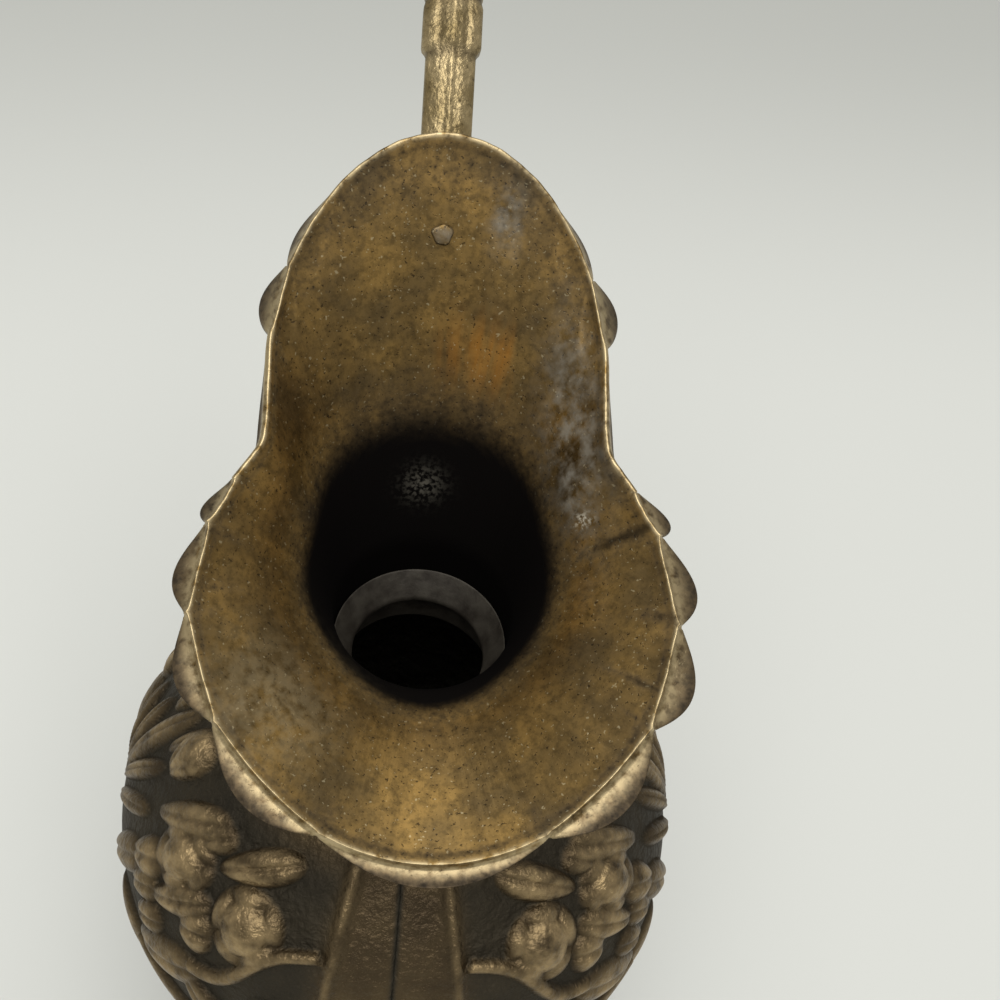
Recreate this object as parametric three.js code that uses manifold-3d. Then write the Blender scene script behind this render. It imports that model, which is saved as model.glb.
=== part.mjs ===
// Brass ewer: a helmet-shaped mouth with a lobed rim, a body soldered up from two stamped halves,
// a cast scroll handle, and a spun foot drawn up against the body by one threaded stud.
import * as THREE from 'three';
import { mergeVertices } from 'three/addons/utils/BufferGeometryUtils.js';
import Module from 'manifold-3d';

// Sheet and joints, in millimetres like every length below
const SHEET = 1.2;
const SOLDER = 0.3;
const SEAM = 0.3;

// Foot
const FOOT_RADIUS = 41;
const FOOT_HEIGHT = 26;
const FOOT_WALL = 1.6;
const FOOT_PLATE = 2.5;
const FOOT_LAND = 4;
const FOOT_EDGE = 3.5;
const FOOT_STEP_WIDTH = 7;
const FOOT_STEP_HEIGHT = 3;
const FOOT_TRUMPET = 12;

// Stem, stud and nuts
const KNOP_RADIUS = 14.5;
const KNOP_HEIGHT = 14;
const KNOP_COLLAR = 2;
const STUD_RADIUS = 2.9;
const STUD_CLEARANCE = 0.4;
const STUD_SPARE = 2.5;
const THREAD_GAP = 0.3;
const NUT_ACROSS_FLATS = 10;
const NUT_HEIGHT = 5;
const WASHER_RADIUS = 8;
const WASHER_HEIGHT = 1.2;
const WASHER_CLEARANCE = 0.8;

// Body
const BODY_RADIUS = 55.5;
const BODY_HEIGHT = 122;
const BELLY_HEIGHT = 65;
const SHOULDER_FULLNESS = 33;
const NECK_HOLLOW = 13.5;
const BOWL_FULLNESS = 32;
const BASE_RADIUS = 12.5;
const BASE_SWEEP = new THREE.Vector2(17.5, 17);
const FLUTE_COUNT = 16;
const FLUTE_DEPTH = 1.6;
const FLUTE_HEIGHT = 54;
// The body is soldered on a little round from the mouth, in degrees, so its back seam lies to the right
const BODY_TWIST = -3;

// Embossed sprays on the shoulder, alike on both sides of each seam. An ornament lies so many degrees round
// from the seam and so far down the profile from the neck, with half its length and width, its lean in
// degrees from level, and its height.
const SPRAY = [
  { round: 78, down: 35, length: 5.5, width: 4, lean: 90, rise: 3 },
  { round: 63, down: 39, length: 8.5, width: 2.8, lean: 45, rise: 2.2 },
  { round: 57, down: 44.5, length: 6.4, width: 5.2, lean: 40, rise: 3.2 },
  { round: 65, down: 53, length: 4.4, width: 3.2, lean: 40, rise: 2.4 },
  { round: 52, down: 51, length: 7, width: 2.6, lean: 40, rise: 2.4 },
  { round: 39.5, down: 33.5, length: 7.6, width: 2.8, lean: 40, rise: 2.6 },
  { round: 35, down: 44.5, length: 6.2, width: 6.2, lean: 0, rise: 3.4 },
  { round: 31, down: 51.5, length: 12, width: 2, lean: 38, rise: 1.8 },
  { round: 50, down: 66, length: 9, width: 3.6, lean: 30, rise: 2.2 },
  { round: 36, down: 68, length: 8, width: 3.4, lean: -30, rise: 2 },
  { round: 14, down: 50, length: 27, width: 1.8, lean: 90, rise: 1.5 },
];
const EMBOSS_ROOT = 0.6;
// Rings of an ornament's dome, as shares of its size and of its height
const DOME_RINGS = [[0.75, 0.66]];

// Neck
const NECK_RADIUS = 15.5;
const NECK_HEIGHT = 16;
const COLLAR_HOLE_RADIUS = 11.7;
const COLLAR_WALL = 1;
const COLLAR_GRIP = 6;
const COLLAR_LEDGE = 3;
const COLLAR_CONE = 4.5;
const BAND_RADIUS = 2.2;

// Mouth, seen in plan: an elliptical spout ahead of the neck axis and a round-ended tongue behind it
const SPOUT_HALF_WIDTH = 38;
const SPOUT_HALF_LENGTH = 34.5;
const SPOUT_OFFSET = 16;
const TONGUE_HALF_WIDTH = 27;
const TONGUE_OFFSET = 22;
const RIM_CORNER = 24;
// The rim seen from the side: an S-curve from the low lip to the high tongue, heights above the neck joint
const LIP_HEIGHT = 23;
const LIP_SWEEP = new THREE.Vector2(30, 27);
const TONGUE_HEIGHT = 79.5;
const TONGUE_SWEEP = new THREE.Vector2(37, 44);
// How the wall flares from neck to rim at the lip and at the tongue, as shares of its way out and up
const LIP_FLARE = new THREE.Vector2(0.12, 0.75);
const TONGUE_FLARE = new THREE.Vector2(0.35, 0.5);
// Lobes raised under the rim, right half, in degrees from the right side: the lip at -90, the tongue at 90
const LOBE_DROP = 7;
const LOBE_ROLL = 0.35;
const LOBE_HOLLOW = 0.3;
const LOBE_FULLNESS = 0.8;
// swell is how far a lobe stands out past the rim, and dip how far the rim falls back along it
const LOBES = [
  { from: -110, to: -70, swell: 2.4, dip: 0.3 },
  { from: -70, to: -45, swell: 3.2, dip: 0.8 },
  { from: -45, to: -25, swell: 3, dip: 1.1 },
  { from: -25, to: -6, swell: 2.9, dip: 1.3 },
  { from: -6, to: 5.5, swell: 2.6, dip: 0.8 },
  { from: 5.5, to: 43, swell: 0.7, dip: 0 },
  { from: 43, to: 54, swell: 3.4, dip: 0.6 },
  { from: 54, to: 66.5, swell: 2.4, dip: 0.2 },
  { from: 66.5, to: 113.5, swell: 1.5, dip: 0 },
];

// Handle, with distances along it counted from its lower end behind the tongue
const PAD_LENGTH = 20;
const HANDLE_WIDTH = 8.2;
const HANDLE_DEPTH = 6.5;
const SHEATH_START = 32;
const SHEATH_LENGTH = 10;
const SHEATH_WIDTH = 9.8;
const SHEATH_DEPTH = 8;
const GROOVE_WIDTH = 1.5;
const GROOVE_DEPTH = 0.8;
const HANDLE_RISE = 9;
const HANDLE_REACH = 48;
const HANDLE_SEAT_HEIGHT = 20;
// Where its crest lies on the reach, its farthest point and waist on the fall, and its widths on the length
const CREST_SHARE = 0.6;
const FARTHEST_SHARE = 0.8;
const WAIST_SHARE = 0.5;
const WAIST_SAG = 0.06;
const SLIM_SHARE = 0.6;
const CURL_START = 0.65;
const CURL_END = 0.8;
const VOLUTE_RADIUS = 8;
const VOLUTE_WIDTH = 10;
const VOLUTE_EYE = 4;
const VOLUTE_HALF_TURNS = 1.35;
const VOLUTE_BITE = 0.8;
// Unit section of the handle: a ridge on its outer side, bevelled flanks and a flat inner side
const HANDLE_SECTION = [[0, 1], [0.5, 0.86], [1, 0.4], [1, -0.4], [0.5, -0.95],
  [-0.5, -0.95], [-1, -0.4], [-1, 0.4], [-0.5, 0.86]];

// Rivet that holds the handle to the tongue
const RIVET_RADIUS = 1.3;
const RIVET_LENGTH = 5;
const RIVET_HEAD_RADIUS = 2;
const RIVET_HEAD_HEIGHT = 0.6;
const RIVET_DROP = 16;
const RIVET_CLEARANCE = 0.3;

// Facets
const BODY_STEPS = 48;
const BODY_CURVE_STEPS = 8;
const LOBE_STEPS = 5;
const SPUN_STEPS = 32;
const SPUN_CURVE_STEPS = 6;
const MOULDING_STEPS = 6;
const HANDLE_STEPS = 48;
const VOLUTE_STEPS = 6;
const SMALL_STEPS = 16;
const DOME_STEPS = 6;
const HEAD_STEPS = 4;
const NUT_HOLE_STEPS = 8;
const HALVINGS = 40;
// Short step down the body's profile that gives its direction there
const PROFILE_STEP = 0.1;
// Rows of facets on the mouth's wall, as shares of the plain stretch and of the lobed one
const PLAIN_ROWS = [0.25, 0.5, 0.75];
const LOBED_ROWS = [0, 0.12, 0.3, 0.55, 0.8, 1];
const HOLLOWED_ROWS = [0, 0.3, 0.7, 1];

// Heights of the joints above the table, and radii that follow from what fits inside
const KNOP_BOTTOM = FOOT_HEIGHT + SOLDER;
const KNOP_TOP = KNOP_BOTTOM + KNOP_HEIGHT;
const BODY_BOTTOM = KNOP_TOP + SOLDER;
const BODY_TOP = BODY_BOTTOM + BODY_HEIGHT;
const NECK_BOTTOM = BODY_TOP + SOLDER;
const NECK_TOP = NECK_BOTTOM + NECK_HEIGHT;
const NECK_OUTER_RADIUS = NECK_RADIUS + SHEET;
const STUD_HOLE_RADIUS = STUD_RADIUS + STUD_CLEARANCE;
const STEM_RADIUS = WASHER_RADIUS + WASHER_CLEARANCE + FOOT_WALL;
const UPPER_WASHER_BOTTOM = BODY_BOTTOM + SHEET + SOLDER;
const UPPER_NUT_BOTTOM = UPPER_WASHER_BOTTOM + WASHER_HEIGHT + SOLDER;
const LOWER_WASHER_BOTTOM = FOOT_HEIGHT - FOOT_PLATE - SOLDER - WASHER_HEIGHT;
const LOWER_NUT_BOTTOM = LOWER_WASHER_BOTTOM - SOLDER - NUT_HEIGHT;

const BACK = Math.PI / 2;
const UP = new THREE.Vector3(0, 0, 1);

const wasm = await Module();
wasm.setup();

const v2 = (x, y) => new THREE.Vector2(x, y);
const v3 = (x, y, z) => new THREE.Vector3(x, y, z);
const smooth = THREE.MathUtils.smoothstep;

// Geometry from corner points and triangles, turned so that its faces point out
function closedGeometry(points, faces) {
  let volume = 0;
  for (let i = 0; i < faces.length; i += 3) {
    const [a, b, c] = [points[faces[i]], points[faces[i + 1]], points[faces[i + 2]]];
    volume += a.dot(b.clone().cross(c));
  }
  const geometry = new THREE.BufferGeometry().setFromPoints(points);
  geometry.setIndex(volume > 0 ? faces : faces.reverse());
  return geometry;
}

// Skin over closed loops of equal length. Without an outline the last loop joins the first again;
// with one, both ends are closed by that flat outline.
function loft(loops, outline) {
  const count = loops[0].length;
  const spans = outline ? loops.length - 1 : loops.length;
  const faces = [];
  for (let i = 0; i < spans; i++) {
    const here = i * count;
    const next = ((i + 1) % loops.length) * count;
    for (let j = 0; j < count; j++) {
      const k = (j + 1) % count;
      faces.push(here + j, next + j, next + k, here + j, next + k, here + k);
    }
  }
  if (outline) {
    const winding = Math.sign(THREE.ShapeUtils.area(outline));
    const end = (loops.length - 1) * count;
    for (const [a, b, c] of THREE.ShapeUtils.triangulateShape(outline, [])) {
      const turn = Math.sign(THREE.ShapeUtils.area([outline[a], outline[b], outline[c]]));
      const [p, q] = turn === winding ? [b, c] : [c, b];
      faces.push(a, p, q, end + a, end + q, end + p);
    }
  }
  return closedGeometry(loops.flat(), faces);
}

// Revolves a closed outline of radius and height; swell(angle, height) stands its points off outward
function revolve(outline, { from = 0, to = 2 * Math.PI, steps = SPUN_STEPS, swell = () => 0 } = {}) {
  const whole = to - from > 2 * Math.PI - 1e-6;
  const loops = [];
  for (let i = 0; i < (whole ? steps : steps + 1); i++) {
    const angle = from + ((to - from) * i) / steps;
    loops.push(outline.map(({ x, y }) => {
      const radius = x + swell(angle, y);
      return v3(radius * Math.cos(angle), radius * Math.sin(angle), y);
    }));
  }
  return loft(loops, whole ? null : outline);
}

// Solid of revolution about the vertical, from a profile that starts and ends on the axis
function turned(profile, steps) {
  const geometry = new THREE.LatheGeometry(profile, steps);
  geometry.deleteAttribute('normal');
  geometry.deleteAttribute('uv');
  return mergeVertices(geometry.rotateX(Math.PI / 2));
}

// Outline of a plain ring between two radii and two heights
function ringOutline(inner, outer, bottom, top) {
  return [v2(outer, bottom), v2(outer, top), v2(inner, top), v2(inner, bottom)];
}

// The same line moved sideways, to its right as it runs
function offsetLine(points, distance) {
  return points.map((p, i) => {
    const before = points[Math.max(i - 1, 0)];
    const after = points[Math.min(i + 1, points.length - 1)];
    const along = after.clone().sub(before).normalize();
    return v2(p.x + along.y * distance, p.y - along.x * distance);
  });
}

// The part of a falling line above a level, ending on that level
function lineAbove(points, level) {
  const kept = points.filter((p) => p.y > level);
  const last = kept.at(-1);
  const next = points[kept.length] ?? last;
  const share = next.y < last.y ? (last.y - level) / (last.y - next.y) : 0;
  return [...kept, v2(THREE.MathUtils.lerp(last.x, next.x, share), level)];
}

function solid(geometry) {
  const merged = mergeVertices(geometry);
  return new wasm.Manifold(new wasm.Mesh({
    numProp: 3,
    vertProperties: Float32Array.from(merged.attributes.position.array),
    triVerts: Uint32Array.from(merged.index.array),
  }));
}

function geometryOf(manifold) {
  const { vertProperties, triVerts } = manifold.getMesh();
  const geometry = new THREE.BufferGeometry();
  geometry.setAttribute('position', new THREE.BufferAttribute(Float32Array.from(vertProperties), 3));
  geometry.setIndex(Array.from(triVerts));
  return geometry;
}

// Mouth

// Distance from the neck axis to the rim in one plan direction
function rimReach(angle) {
  const across = Math.cos(angle);
  const back = Math.sin(angle);
  const a = (across / SPOUT_HALF_WIDTH) ** 2 + (back / SPOUT_HALF_LENGTH) ** 2;
  const b = (back * SPOUT_OFFSET) / SPOUT_HALF_LENGTH ** 2;
  const c = (SPOUT_OFFSET / SPOUT_HALF_LENGTH) ** 2 - 1;
  const spout = (-b + Math.sqrt(b * b - a * c)) / a;
  let tongue = TONGUE_HALF_WIDTH / Math.max(Math.abs(across), 1e-9);
  if (back < 0) {
    tongue = TONGUE_HALF_WIDTH;
  } else if (tongue * back > TONGUE_OFFSET) {
    tongue = back * TONGUE_OFFSET + Math.sqrt(TONGUE_HALF_WIDTH ** 2 - (TONGUE_OFFSET * across) ** 2);
  }
  return (spout ** RIM_CORNER + tongue ** RIM_CORNER) ** (1 / RIM_CORNER);
}

const lipTip = v2(-rimReach(-BACK), NECK_BOTTOM + LIP_HEIGHT);
const tongueTip = v2(rimReach(BACK), NECK_BOTTOM + TONGUE_HEIGHT);
const rimSide = new THREE.CubicBezierCurve(
  lipTip,
  lipTip.clone().add(LIP_SWEEP),
  tongueTip.clone().sub(TONGUE_SWEEP),
  tongueTip,
);

// Height of the rim at a distance behind the axis, found on the side curve by halving
function rimHeight(y) {
  let low = 0;
  let high = 1;
  for (let i = 0; i < HALVINGS; i++) {
    const middle = (low + high) / 2;
    if (rimSide.getPoint(middle).x < y) {
      low = middle;
    } else {
      high = middle;
    }
  }
  return rimSide.getPoint(low).y;
}

// Inner face of the flare in one plan direction, as a curve of radius and height from neck to rim
function flareCurve(angle) {
  const reach = rimReach(angle);
  const height = rimHeight(reach * Math.sin(angle));
  const flare = LIP_FLARE.clone().lerp(TONGUE_FLARE, (1 + Math.sin(angle)) / 2);
  return new THREE.QuadraticBezierCurve(
    v2(NECK_RADIUS, NECK_TOP),
    v2(NECK_RADIUS + flare.x * (reach - NECK_RADIUS), NECK_TOP + flare.y * (height - NECK_TOP)),
    v2(reach, height),
  );
}

function flarePoint(angle, share) {
  const { x: radius, y: height } = flareCurve(angle).getPoint(share);
  return v3(radius * Math.cos(angle), radius * Math.sin(angle), height);
}

// Direction square to the flare, pointing away from the inside
function flareNormal(angle, share) {
  const step = 1e-3;
  const up = flarePoint(angle, Math.min(share + step, 1)).sub(flarePoint(angle, Math.max(share - step, 0)));
  const round = flarePoint(angle + step, share).sub(flarePoint(angle - step, share));
  return round.cross(up).normalize();
}

// Share of the way from neck to rim that lies a given distance below the rim
function shareBelow(angle, below) {
  const curve = flareCurve(angle);
  return curve.getUtoTmapping(1 - below / curve.getLength());
}

// The lobe in one plan direction, with its round arch from notch to notch as a share of its height
function lobeAt(angle) {
  const turn = THREE.MathUtils.radToDeg(angle);
  const right = Math.cos(angle) >= 0 ? turn : 180 - turn;
  const holds = (lobe) => right >= lobe.from && right <= lobe.to;
  const { from, to, swell, dip } = LOBES.find(holds) ?? LOBES[0];
  const across = Math.sin((Math.PI * (right - from)) / (to - from));
  return { swell, dip, arch: Math.sqrt(Math.max(across, 0)) };
}

// Share of its swell that a lobe has at a distance below the rim: a lens, deepest between its notches
function lobeBulge(arch, below) {
  const depth = LOBE_DROP * arch;
  return below < depth ? arch * Math.sin((Math.PI * below) / depth) ** LOBE_FULLNESS : 0;
}

// Plan directions of the mouth's facets, with one at every notch between lobes
function mouthAngles() {
  const mirror = ({ from, to }) => ({ from: 180 - to, to: 180 - from });
  const mirrored = LOBES.slice(1, -1).reverse().map(mirror);
  return [...LOBES, ...mirrored].flatMap(({ from, to }) => {
    const stretch = [];
    for (let i = 0; i < LOBE_STEPS; i++) {
      stretch.push(THREE.MathUtils.degToRad(from + ((to - from) * i) / LOBE_STEPS));
    }
    return stretch;
  });
}

// The wall in one plan direction: up the inside, over the rim and down the outside, which can be grown.
// A lobe is rolled out past the rim, so it also makes up for the wall's lean below the rim.
function mouthSection(angle, grow) {
  const curve = flareCurve(angle);
  const length = curve.getLength();
  const outward = v3(Math.cos(angle), Math.sin(angle), 0);
  const { swell, dip, arch } = lobeAt(angle);
  const wallPoint = (below, thickness, rolled) => {
    const share = shareBelow(angle, below);
    const bulge = lobeBulge(arch, below);
    const lean = rolled ? curve.v2.x - curve.getPoint(share).x : 0;
    const hollow = rolled ? 1 : LOBE_HOLLOW;
    const fallback = dip * arch * Math.max(1 - below / LOBE_DROP, 0) ** 2;
    return flarePoint(angle, share)
      .addScaledVector(flareNormal(angle, share), thickness + (rolled ? LOBE_ROLL * swell * bulge : 0))
      .addScaledVector(outward, (hollow * swell + lean) * bulge - fallback);
  };
  const neckPoint = (radius, height) => v3(radius * Math.cos(angle), radius * Math.sin(angle), height);
  const plain = PLAIN_ROWS.map((share) => LOBE_DROP + share * (length - LOBE_DROP));
  const lobed = LOBED_ROWS.map((share) => share * LOBE_DROP);
  const hollowed = HOLLOWED_ROWS.map((share) => share * LOBE_DROP);
  return [
    neckPoint(NECK_RADIUS, NECK_BOTTOM),
    neckPoint(NECK_RADIUS, NECK_TOP),
    ...plain.toReversed().map((below) => wallPoint(below, 0, false)),
    ...hollowed.toReversed().map((below) => wallPoint(below, 0, false)),
    ...lobed.map((below) => wallPoint(below, SHEET + grow, true)),
    ...plain.map((below) => wallPoint(below, SHEET + grow, true)),
    neckPoint(NECK_OUTER_RADIUS + grow, NECK_TOP),
    neckPoint(NECK_OUTER_RADIUS + grow, NECK_BOTTOM),
  ];
}

const mouthShell = (grow) => loft(mouthAngles().map((angle) => mouthSection(angle, grow)));

// Turns a piece made about the vertical onto the rivet's line, square through the middle of the tongue
function onRivetLine(geometry) {
  const share = shareBelow(BACK, RIVET_DROP);
  const turn = new THREE.Quaternion().setFromUnitVectors(UP, flareNormal(BACK, share));
  return geometry.applyQuaternion(turn).translate(...flarePoint(BACK, share).toArray());
}

function rivetHole() {
  const radius = RIVET_RADIUS + RIVET_CLEARANCE;
  const end = RIVET_LENGTH + RIVET_CLEARANCE;
  const profile = [v2(0, -SHEET), v2(radius, -SHEET), v2(radius, end), v2(0, end)];
  return solid(onRivetLine(turned(profile, SMALL_STEPS)));
}

const mouthGeometry = () => geometryOf(solid(mouthShell(0)).subtract(rivetHole()));

function handleRivetGeometry() {
  const head = [];
  for (let i = 0; i <= HEAD_STEPS; i++) {
    const lean = (BACK * i) / HEAD_STEPS;
    head.push(v2(RIVET_HEAD_RADIUS * Math.sin(lean), -SOLDER - RIVET_HEAD_HEIGHT * Math.cos(lean)));
  }
  const shank = [v2(RIVET_RADIUS, -SOLDER), v2(RIVET_RADIUS, RIVET_LENGTH), v2(0, RIVET_LENGTH)];
  return onRivetLine(turned([...head, ...shank], SMALL_STEPS));
}

// Neck: a spun collar inside the joint of mouth and body, and a half-round band outside it

function neckCollarGeometry() {
  const outer = NECK_RADIUS - SOLDER;
  const inner = outer - COLLAR_WALL;
  const ledge = NECK_BOTTOM + COLLAR_LEDGE;
  const bottom = BODY_TOP - COLLAR_GRIP;
  return revolve([
    v2(outer, bottom),
    v2(outer, ledge + COLLAR_CONE),
    v2(COLLAR_HOLE_RADIUS, ledge),
    v2(COLLAR_HOLE_RADIUS, ledge - COLLAR_WALL),
    v2(inner, ledge - COLLAR_WALL),
    v2(inner, bottom),
  ]);
}

function neckBandGeometry() {
  const inner = NECK_OUTER_RADIUS + SOLDER;
  const outline = [];
  for (let i = 0; i <= MOULDING_STEPS; i++) {
    const lean = (Math.PI * i) / MOULDING_STEPS - BACK;
    outline.push(v2(inner + BAND_RADIUS * Math.cos(lean), NECK_BOTTOM + BAND_RADIUS * (1 + Math.sin(lean))));
  }
  return revolve(outline);
}

// Body

// The body's outer profile from neck to base, over the shoulder and round the bowl
function bodyCurves() {
  const neck = v2(NECK_OUTER_RADIUS, BODY_TOP);
  const belly = v2(BODY_RADIUS, BODY_BOTTOM + BELLY_HEIGHT);
  const base = v2(BASE_RADIUS, BODY_BOTTOM);
  const shoulder = new THREE.CubicBezierCurve(
    neck,
    v2(neck.x, neck.y - NECK_HOLLOW),
    v2(belly.x, belly.y + SHOULDER_FULLNESS),
    belly,
  );
  const bowl = new THREE.CubicBezierCurve(
    belly,
    v2(belly.x, belly.y - BOWL_FULLNESS),
    base.clone().add(BASE_SWEEP),
    base,
  );
  return [shoulder, bowl];
}

function bodyProfile() {
  const [shoulder, bowl] = bodyCurves();
  return [...shoulder.getPoints(BODY_CURVE_STEPS), ...bowl.getPoints(BODY_CURVE_STEPS).slice(1)];
}

// Point on the body at an angle round it and a distance down its profile, stood off by a height
function bodyPoint(angle, down, height) {
  const path = new THREE.CurvePath();
  bodyCurves().forEach((curve) => path.add(curve));
  const here = path.getPoint(down / path.getLength());
  const next = path.getPoint((down + PROFILE_STEP) / path.getLength());
  const along = next.sub(here).normalize();
  const radius = here.x - along.y * height;
  return v3(radius * Math.cos(angle), radius * Math.sin(angle), here.y + along.x * height);
}

// Low dome on the body, rooted in its wall. Way is 1 or -1 for the way round from the seam.
function ornamentGeometry(seam, way, { round, down, length, width, lean, rise }) {
  const tilt = THREE.MathUtils.degToRad(lean);
  const place = (along, across, height) => {
    const level = length * along * Math.cos(tilt) - width * across * Math.sin(tilt);
    const drop = length * along * Math.sin(tilt) + width * across * Math.cos(tilt);
    const turn = THREE.MathUtils.degToRad(round) + level / BODY_RADIUS;
    return bodyPoint(seam + way * turn, down + drop, height);
  };
  const rings = [[1, -EMBOSS_ROOT], ...DOME_RINGS.map(([share, lift]) => [share, lift * rise])];
  const points = [place(0, 0, -EMBOSS_ROOT), place(0, 0, rise)];
  const faces = [];
  rings.forEach(([share, height], i) => {
    for (let j = 0; j < DOME_STEPS; j++) {
      const spoke = (2 * Math.PI * j) / DOME_STEPS;
      points.push(place(share * Math.cos(spoke), share * Math.sin(spoke), height));
      const here = 2 + i * DOME_STEPS + j;
      const next = 2 + i * DOME_STEPS + ((j + 1) % DOME_STEPS);
      if (i === 0) {
        faces.push(0, next, here);
      }
      if (i < rings.length - 1) {
        faces.push(here, next, next + DOME_STEPS, here, next + DOME_STEPS, here + DOME_STEPS);
      } else {
        faces.push(here, next, 1);
      }
    }
  });
  return closedGeometry(points, faces);
}

// Outer radius of the body at a height
function bodyRadiusAt(height) {
  const profile = bodyProfile();
  const below = profile.findIndex((p) => p.y < height);
  const share = (profile[below - 1].y - height) / (profile[below - 1].y - profile[below].y);
  return THREE.MathUtils.lerp(profile[below - 1].x, profile[below].x, share);
}

// Flutes rise and fade again between the base and their height, with a groove on each seam
function fluteSwell(angle, height) {
  const share = (height - BODY_BOTTOM) / FLUTE_HEIGHT;
  if (share <= 0 || share >= 1) {
    return 0;
  }
  return FLUTE_DEPTH * Math.sin(Math.PI * share) * Math.abs(Math.sin((FLUTE_COUNT * angle) / 2));
}

// Closed section of the body's wall and of the floor that the stud passes through
function bodyOutline(grow) {
  const floor = BODY_BOTTOM + SHEET;
  const profile = bodyProfile();
  return [
    ...offsetLine(profile, -grow),
    v2(STUD_HOLE_RADIUS, BODY_BOTTOM),
    v2(STUD_HOLE_RADIUS, floor),
    ...lineAbove(offsetLine(profile, SHEET), floor).reverse(),
  ];
}

function bodyHalfGeometry(side) {
  const middle = side > 0 ? 0 : Math.PI;
  let half = solid(revolve(bodyOutline(0), {
    from: middle - BACK,
    to: middle + BACK,
    steps: BODY_STEPS / 2,
    swell: fluteSwell,
  }));
  for (const ornament of SPRAY) {
    half = half.add(solid(ornamentGeometry(-BACK, side, ornament)));
    half = half.add(solid(ornamentGeometry(BACK, -side, ornament)));
  }
  const twist = THREE.MathUtils.degToRad(BODY_TWIST);
  return geometryOf(half).translate((side * SEAM) / 2, 0, 0).rotateZ(twist);
}

// Handle

// Centre line in the plane of the seams: up the back of the tongue, over, down and into a volute, which
// bites a little into the body where it comes nearest
function handlePath() {
  const behindTongue = (below) => {
    const share = shareBelow(BACK, below);
    return flarePoint(BACK, share).addScaledVector(flareNormal(BACK, share), SHEET + HANDLE_DEPTH / 2);
  };
  const seatHeight = BODY_BOTTOM + BELLY_HEIGHT + HANDLE_SEAT_HEIGHT;
  const curl = VOLUTE_RADIUS + HANDLE_DEPTH / 2;
  const leans = Array.from({ length: SMALL_STEPS + 1 }, (_, i) => (Math.PI * i) / SMALL_STEPS - BACK);
  const offs = leans.map((lean) => bodyRadiusAt(seatHeight + curl * Math.sin(lean)) + curl * Math.cos(lean));
  const toSeam = THREE.MathUtils.degToRad(BODY_TWIST);
  const eye = v3(0, Math.max(...offs) + SOLDER - VOLUTE_BITE, seatHeight).applyAxisAngle(UP, toSeam);
  const crest = v3(eye.x / 3, tongueTip.x + CREST_SHARE * HANDLE_REACH, tongueTip.y + HANDLE_RISE);
  const shoulder = THREE.MathUtils.lerp(eye.z, crest.z, FARTHEST_SHARE);
  const farthest = v3(eye.x, tongueTip.x + HANDLE_REACH, shoulder);
  const waist = eye.clone().lerp(farthest, WAIST_SHARE);
  waist.z -= WAIST_SAG * (farthest.z - eye.z);
  const volute = [];
  for (let i = 0; i <= VOLUTE_STEPS; i++) {
    const turn = Math.PI * (1 + (VOLUTE_HALF_TURNS * i) / VOLUTE_STEPS);
    const radius = THREE.MathUtils.lerp(VOLUTE_RADIUS, VOLUTE_EYE, i / VOLUTE_STEPS);
    const spoke = v3(0, radius * Math.cos(turn), radius * Math.sin(turn)).applyAxisAngle(UP, toSeam);
    volute.push(eye.clone().add(spoke));
  }
  const pad = [behindTongue(PAD_LENGTH), behindTongue(PAD_LENGTH / 4)];
  return new THREE.CatmullRomCurve3([...pad, crest, farthest, waist, ...volute], false, 'centripetal');
}

// Width and depth at a distance along the handle
function handleSize(distance, length) {
  const sheathEnd = SHEATH_START + SHEATH_LENGTH;
  const sheathed = smooth(distance, SHEATH_START, SHEATH_START + GROOVE_WIDTH);
  const slimmed = smooth(distance, sheathEnd, SLIM_SHARE * length);
  const curled = smooth(distance, CURL_START * length, CURL_END * length);
  const groove = GROOVE_DEPTH * Math.max(1 - Math.abs(distance - sheathEnd) / GROOVE_WIDTH, 0);
  const width = THREE.MathUtils.lerp(HANDLE_WIDTH, SHEATH_WIDTH, sheathed * (1 - slimmed));
  const depth = THREE.MathUtils.lerp(HANDLE_DEPTH, SHEATH_DEPTH, sheathed * (1 - slimmed));
  return {
    width: THREE.MathUtils.lerp(width, VOLUTE_WIDTH, curled) - groove,
    depth: depth - groove,
  };
}

function handleGeometry() {
  const path = handlePath();
  const length = path.getLength();
  const distances = [SHEATH_START, SHEATH_START + GROOVE_WIDTH];
  for (let i = -1; i <= 1; i++) {
    distances.push(SHEATH_START + SHEATH_LENGTH + i * GROOVE_WIDTH);
  }
  for (let i = 0; i <= HANDLE_STEPS; i++) {
    distances.push((length * i) / HANDLE_STEPS);
  }
  distances.sort((a, b) => a - b);
  const loops = distances.map((distance) => {
    const share = Math.min(distance / length, 1);
    const centre = path.getPointAt(share);
    const along = path.getTangentAt(share);
    const outward = v3(0, -along.z, along.y).normalize();
    const { width, depth } = handleSize(distance, length);
    return HANDLE_SECTION.map(([x, y]) => {
      return centre.clone().add(v3((x * width) / 2, 0, 0)).addScaledVector(outward, (y * depth) / 2);
    });
  });
  const outline = HANDLE_SECTION.map(([x, y]) => v2(x, y));
  const seats = solid(mouthShell(SOLDER)).add(solid(revolve(bodyOutline(SOLDER), { steps: BODY_STEPS })));
  return geometryOf(solid(loft(loops, outline)).subtract(seats).subtract(rivetHole()));
}

// Stem, foot and the stud that draws them up

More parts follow.
